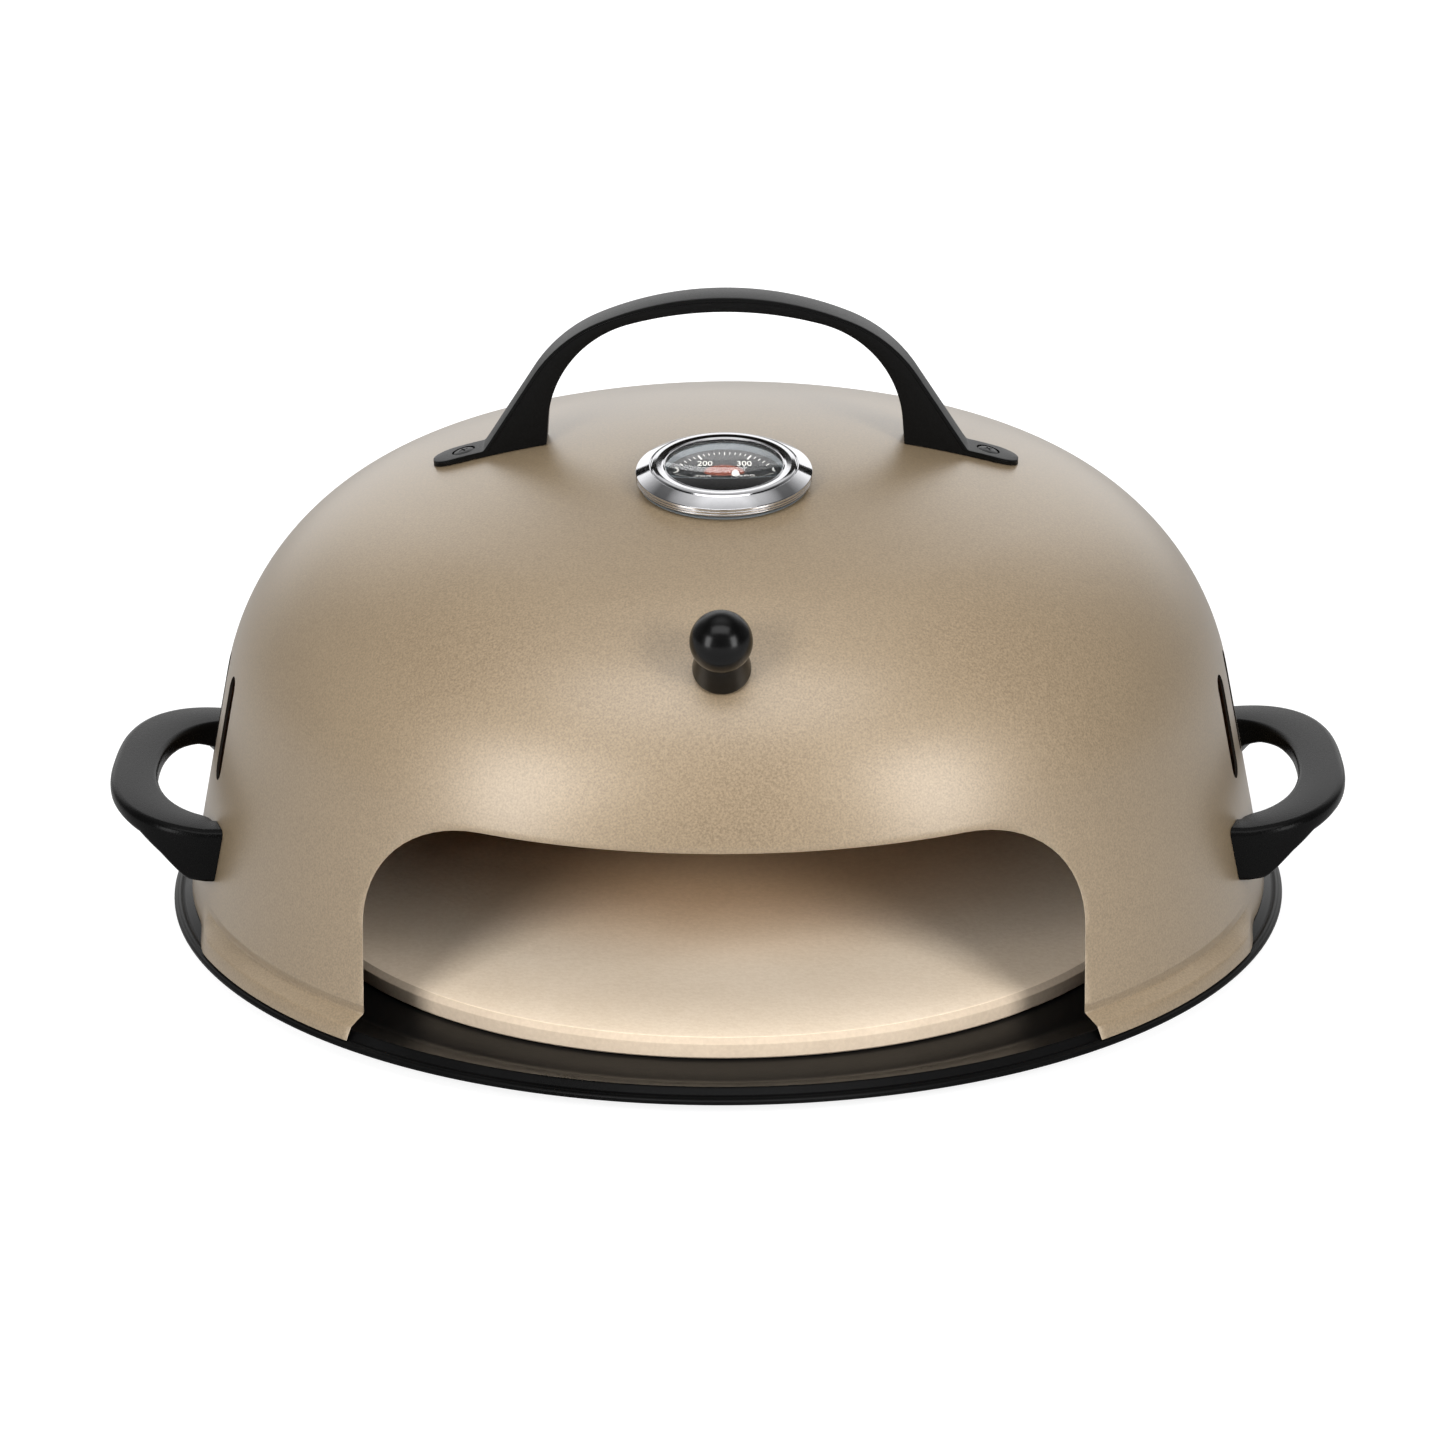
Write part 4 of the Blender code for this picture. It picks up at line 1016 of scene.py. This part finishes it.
knob_profile = rounded([
    (0.0, 0.0003, 0.0), (0.0109, 0.0003, 0.0), (0.0119, 0.0013, 0.0005),
    (0.0119, 0.0023, 0.0006), (waist_radius, 0.0110, 0.0),
], 5)
ball_start = math.asin(waist_radius * neck_share / ball_radius) - math.pi / 2.0
knob_profile += arc(0.0, ball_height, ball_radius, ball_start, math.pi / 2.0, 40)[:-1]
knob_profile.append((0.0, ball_height + ball_radius))
black_phenolic = grained_finish(
    "black_phenolic", (0.001, 0.001, 0.001), (0.002, 0.002, 0.002), (0.18, 0.26),
    grain=260.0, cloud=40.0, grain_share=0.3, Specular_IOR_Level=0.26,
)
knob_place = fixing_places["front_knob"]
knob = make_piece("ball_knob", turned_shape(knob_profile, 96), black_phenolic, place=knob_place)
pocket = bmesh.new()
add_punch(pocket, hole(insert_pocket_radius, 20), pocket_start, knob_pocket_end, knob_place)
punch_out(knob, pocket, black_phenolic)
shone.objects.link(knob)
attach(knob, "dome")
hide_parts("front_knob")

# Fixings: zinc-plated cross-recessed screws with stamped washers and hexagon nuts, the two
# of the top handle blacked, and brass inserts moulded into the handles and the knob.
washer_bore = 0.0028
washer_radius = 0.0060
washer_thickness = 0.0010
nut_height = 0.0040
screw_past_nut = 0.0025
insert_length = 0.0090
shank_radius = 0.0025
shank_tip_radius = 0.0020
head_crown = 0.0026
recess_depth = 0.0014
head_heights = (
    (0.0, head_crown), (0.0010, head_crown), (0.0020, 0.00252), (0.0031, 0.00225),
    (0.0040, 0.00175), (0.0045, 0.00120), (0.0047, 0.00070), (0.0047, 0.00012), (0.0046, 0.0),
)
zinc_steel = grained_finish(
    "zinc_steel", (0.42, 0.42, 0.43), (0.60, 0.60, 0.61), (0.28, 0.42),
    cloud=120.0, Metallic=1.0,
)
blacked_steel = grained_finish(
    "blacked_steel", (0.030, 0.030, 0.031), (0.055, 0.055, 0.056), (0.38, 0.50),
    cloud=120.0, Metallic=0.6,
)
brass = grained_finish(
    "turned_brass", (0.50, 0.36, 0.13), (0.64, 0.49, 0.21), (0.24, 0.36),
    grain=800.0, cloud=150.0, Metallic=1.0,
)


def screw_shape(head_at, side, tip_at, head_share):
    """A pan-head screw along Z, its head past head_at on the given side."""
    profile = [(x, head_at + side * head_share * y) for x, y in head_heights]
    profile += [
        (shank_radius, head_at), (shank_radius, tip_at + side * 0.0005),
        (shank_tip_radius, tip_at), (0.0, tip_at),
    ]
    return turned_shape(profile, 32)


def recess_shape(head_at, side, place, head_share):
    """The cross that a driver goes into."""
    shape = bmesh.new()
    floor_at = head_at + side * head_share * (head_crown - recess_depth)
    low, high = sorted((floor_at, head_at + side * 0.0040))
    arm, half = 0.0021, 0.00045
    cross = [(arm, half), (half, half), (half, arm), (-half, arm), (-half, half), (-arm, half)]
    cross += [(-x, -y) for x, y in cross]
    add_punch(shape, cross, low, high, place @ Matrix.Rotation(0.4, 4, "Z"))
    return shape


def fit_screw(node, place, head_at, side, tip_at, finish, head_share=1.0):
    """Put a screw in a node's place. The head share flattens its head."""
    shape = screw_shape(head_at, side, tip_at, head_share)
    screw = make_piece(f"{node}_cross_head", shape, finish, place=place)
    punch_out(screw, recess_shape(head_at, side, place, head_share), finish)
    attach(screw, "dome")
    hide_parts(node)


def fit_washer(node, place, low):
    """Put a washer in a node's place, its lower face at a height."""
    high = low + washer_thickness
    profile = rounded([
        (washer_bore, low, 0.0), (washer_radius, low, 0.0002),
        (washer_radius, high, 0.0003), (washer_bore, high, 0.0),
    ], 3)
    shape = turned_shape(profile, 40, True)
    washer = make_piece(f"{node}_stamped", shape, zinc_steel, place=place)
    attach(washer, "dome")
    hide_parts(node)


under_skin = -dome_sheet - 0.0005
washer_low = under_skin - washer_thickness
for end in ("left", "right"):
    place = fixing_places[f"top_handle_{end}"]
    tip_at = washer_low - seat_gap - nut_height - screw_past_nut
    fit_screw(
        f"top_handle_screw_{end}", place, head_seat_height, 1.0, tip_at, blacked_steel, 0.55,
    )
    fit_washer(f"top_handle_washer_{end}", place, washer_low)
for name, place in fixing_places.items():
    if name.startswith("top_handle"):
        continue
    insert_start = 0.0006 if name == "front_knob" else 0.0012
    tip_at = insert_start + insert_length - seat_gap
    fit_screw(f"{name}_screw", place, washer_low - seat_gap, -1.0, tip_at, zinc_steel)
    fit_washer(f"{name}_washer", place, washer_low)
for name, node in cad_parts.items():
    for word, finish in (("_nut_", zinc_steel), ("_insert", brass)):
        if word in name:
            node.data.materials.clear()
            node.data.materials.append(finish)

# Thermometer: a spun and chromed bezel crimped over a glass, a lacquered case let into
# the crown, a printed dial, and a stem with a bimetal coil that turns the pointer. Heights
# count from the dome's skin along the dial's axis.
bezel_outline = rounded([
    (0.0348, -0.0011, 0.0), (0.0348, 0.0009, 0.0004), (0.0371, 0.0015, 0.0003),
    (0.0371, 0.0021, 0.0002), (0.0368, 0.0023, 0.0001), (0.0371, 0.0025, 0.0001),
    (0.0372, 0.0033, 0.0002), (0.0369, 0.0035, 0.0001), (0.0372, 0.0037, 0.0001),
    (0.0372, 0.0047, 0.0004), (0.0314, 0.0075, 0.0002), (0.0309, 0.0072, 0.0002),
    (0.0303, 0.0079, 0.0008), (0.0285, 0.0080, 0.0020), (0.0262, 0.0077, 0.0010),
    (0.0256, 0.0074, 0.0002), (0.0248, 0.0078, 0.0003), (0.0248, 0.0070, 0.0002),
    (0.0267, 0.0070, 0.0), (0.0267, 0.0037, 0.0), (0.0277, 0.0037, 0.0),
    (0.0292, 0.0060, 0.0), (0.0362, 0.0038, 0.0), (0.0342, 0.0026, 0.0),
    (0.0342, -0.0011, 0.0),
], 5)
chrome = grained_finish(
    "chrome", (0.74, 0.74, 0.76), (0.82, 0.82, 0.84), (0.06, 0.10),
    grain=500.0, grain_share=0.3, depth=0.000003, Metallic=1.0,
)
bezel = make_piece(
    "chromed_bezel", turned_shape(bezel_outline, 160, True), chrome, place=dial_place,
)
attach(bezel, "dome")
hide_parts("thermometer_bezel")

clear_glass, tree, shader = new_finish(
    "clear_glass", Base_Color=(0.97, 0.98, 0.98, 1.0), Transmission_Weight=1.0, IOR=1.45,
)
smear = add_node(tree, "ShaderNodeGroup", {"Scale": 90.0}, node_tree=slow_cloud)
smear_gloss = spread(tree, smear.outputs["Shade"], (0.0, 1.0), (0.0, 0.03))
tree.links.new(smear_gloss, shader.inputs["Roughness"])
path = add_node(tree, "ShaderNodeLightPath")
let_through = add_node(tree, "ShaderNodeBsdfTransparent", {"Color": (0.95, 0.96, 0.96, 1.0)})
both = add_node(tree, "ShaderNodeMixShader", {
    0: path.outputs["Is Shadow Ray"], 1: shader.outputs[0], 2: let_through.outputs[0],
})
tree.links.new(both.outputs[0], tree.nodes["Material Output"].inputs["Surface"])
glass_outline = rounded([
    (0.0, 0.0051, 0.0), (0.0264, 0.0051, 0.0002), (0.0264, 0.0067, 0.0002), (0.0, 0.0067, 0.0),
], 3)
glass = make_piece("dial_glass", turned_shape(glass_outline, 128), clear_glass, place=dial_place)
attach(glass, "dome")
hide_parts("thermometer_lens")

dial_top = -0.0009
red_field_radius = 0.0138
scale_start = math.radians(135.0)
scale_sweep = math.radians(270.0)
scale_steps = 50
scale_radius = 0.0228
mark_height = 0.00005
number_radius = 0.0166
number_size = 0.0040
dial_outline = [(0.0013, -0.0013), (0.0251, -0.0013), (0.0251, dial_top), (0.0013, dial_top)]
dial_print, tree, shader = new_finish("dial_print", Roughness=0.45)
from_middle = distance_from(tree, dial_place @ Vector((0.0, 0.0, dial_top)))
outside = spread(tree, from_middle, (red_field_radius, red_field_radius + 0.0003))
specks = add_node(tree, "ShaderNodeGroup", {"Scale": 2200.0}, node_tree=fine_grain)
ink = specks.outputs["Shade"]
red_field = mixed_colour(tree, ink, (0.155, 0.040, 0.024), (0.210, 0.058, 0.034))
dark_field = mixed_colour(tree, ink, (0.016, 0.016, 0.017), (0.026, 0.025, 0.025))
colour = mixed_colour(tree, outside, red_field, dark_field)
tree.links.new(colour, shader.inputs["Base Color"])
dial = make_piece(
    "printed_dial", turned_shape(dial_outline, 128, True), dial_print, place=dial_place,
)
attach(dial, "dome")
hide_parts("thermometer_dial")

pale_print = grained_finish(
    "pale_print", (0.62, 0.60, 0.56), (0.76, 0.74, 0.70), (0.5, 0.6),
    grain=1500.0, cloud=200.0, grain_share=0.5, depth=0.000005,
)
marks = bmesh.new()
for index in range(scale_steps + 1):
    turn = scale_start - scale_sweep * index / scale_steps
    inner, half = 0.0212, 0.00014
    if index % 10 == 0:
        inner, half = 0.0196, 0.00035
    elif index % 5 == 0:
        inner = 0.0204
    mark = [(-half, inner), (half, inner), (half, scale_radius), (-half, scale_radius)]
    spin = dial_place @ Matrix.Rotation(turn, 4, "Z")
    add_punch(marks, mark, dial_top, dial_top + mark_height, spin)
for index in range(0, scale_steps + 1, 10):
    label = bpy.data.curves.new("number", "FONT")
    label.body = str(index * 10)
    label.size = number_size
    label.align_x = "CENTER"
    label.align_y = "CENTER"
    label.extrude = 0.00002
    text = add_object("number", label)
    bpy.context.view_layer.update()
    shown_text = text.evaluated_get(bpy.context.evaluated_depsgraph_get())
    number = bpy.data.meshes.new_from_object(shown_text)
    turn = scale_start - scale_sweep * index / scale_steps
    across, up = -math.sin(turn) * number_radius, math.cos(turn) * number_radius
    number.transform(dial_place @ Matrix.Translation((across, up, dial_top + 0.00003)))
    marks.from_mesh(number)
    bpy.data.objects.remove(text, do_unlink=True)
scale_marks = make_piece("dial_scale", marks, pale_print)
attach(scale_marks, "dome")

case_radius = 0.0264
case_wall = 0.0254
case_lip = 0.0359
case_outline = [
    (0.0024, -0.0022), (case_radius, -0.0022), (case_radius, -0.0005), (case_lip, -0.0005),
    (case_lip, 0.0001), (case_radius, 0.0001), (case_radius, 0.0037), (case_wall, 0.0037),
    (case_wall, -0.0016), (0.0024, -0.0016),
]
case_lacquer = grained_finish(
    "case_lacquer", (0.085, 0.100, 0.110), (0.120, 0.135, 0.145), (0.35, 0.45),
)
case = make_piece(
    "dial_case", turned_shape(case_outline, 128, True), case_lacquer, place=dial_place,
)
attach(case, "dome")
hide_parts("thermometer_case")

pointer_finish = grained_finish(
    "pointer_paint", (0.66, 0.65, 0.61), (0.78, 0.77, 0.73), (0.5, 0.6),
    grain=1500.0, cloud=200.0, grain_share=0.5, depth=0.000005,
)
hub = arc(0.0, 0.0, 0.0024, -math.radians(60.0), math.radians(75.0), 16)
needle = [(0.0013, -0.0075)] + hub + [(0.00027, 0.0190)]
needle += [(-x, y) for x, y in reversed(needle)]
pointer_shape = bmesh.new()
cold_stop = dial_place @ Matrix.Rotation(scale_start, 4, "Z")
add_punch(pointer_shape, needle, 0.0012, 0.0016, cold_stop)
bmesh.ops.recalc_face_normals(pointer_shape, faces=pointer_shape.faces)
pointer = make_piece("dial_pointer", pointer_shape, pointer_finish)
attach(pointer, "pointer")
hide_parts("thermometer_pointer")

rubber = grained_finish(
    "seal_rubber", (0.020, 0.020, 0.020), (0.034, 0.034, 0.034), (0.65, 0.80),
    grain_share=0.5, depth=0.00002,
)
for finish, names in (
    (zinc_steel, ("thermometer_stem", "thermometer_clamp_plate", "pointer_shaft")),
    (brass, ("thermometer_nut", "bimetal_coil")),
    (rubber, ("lens_seal",)),
):
    for name in names:
        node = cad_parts[name]
        node.data.materials.clear()
        node.data.materials.append(finish)
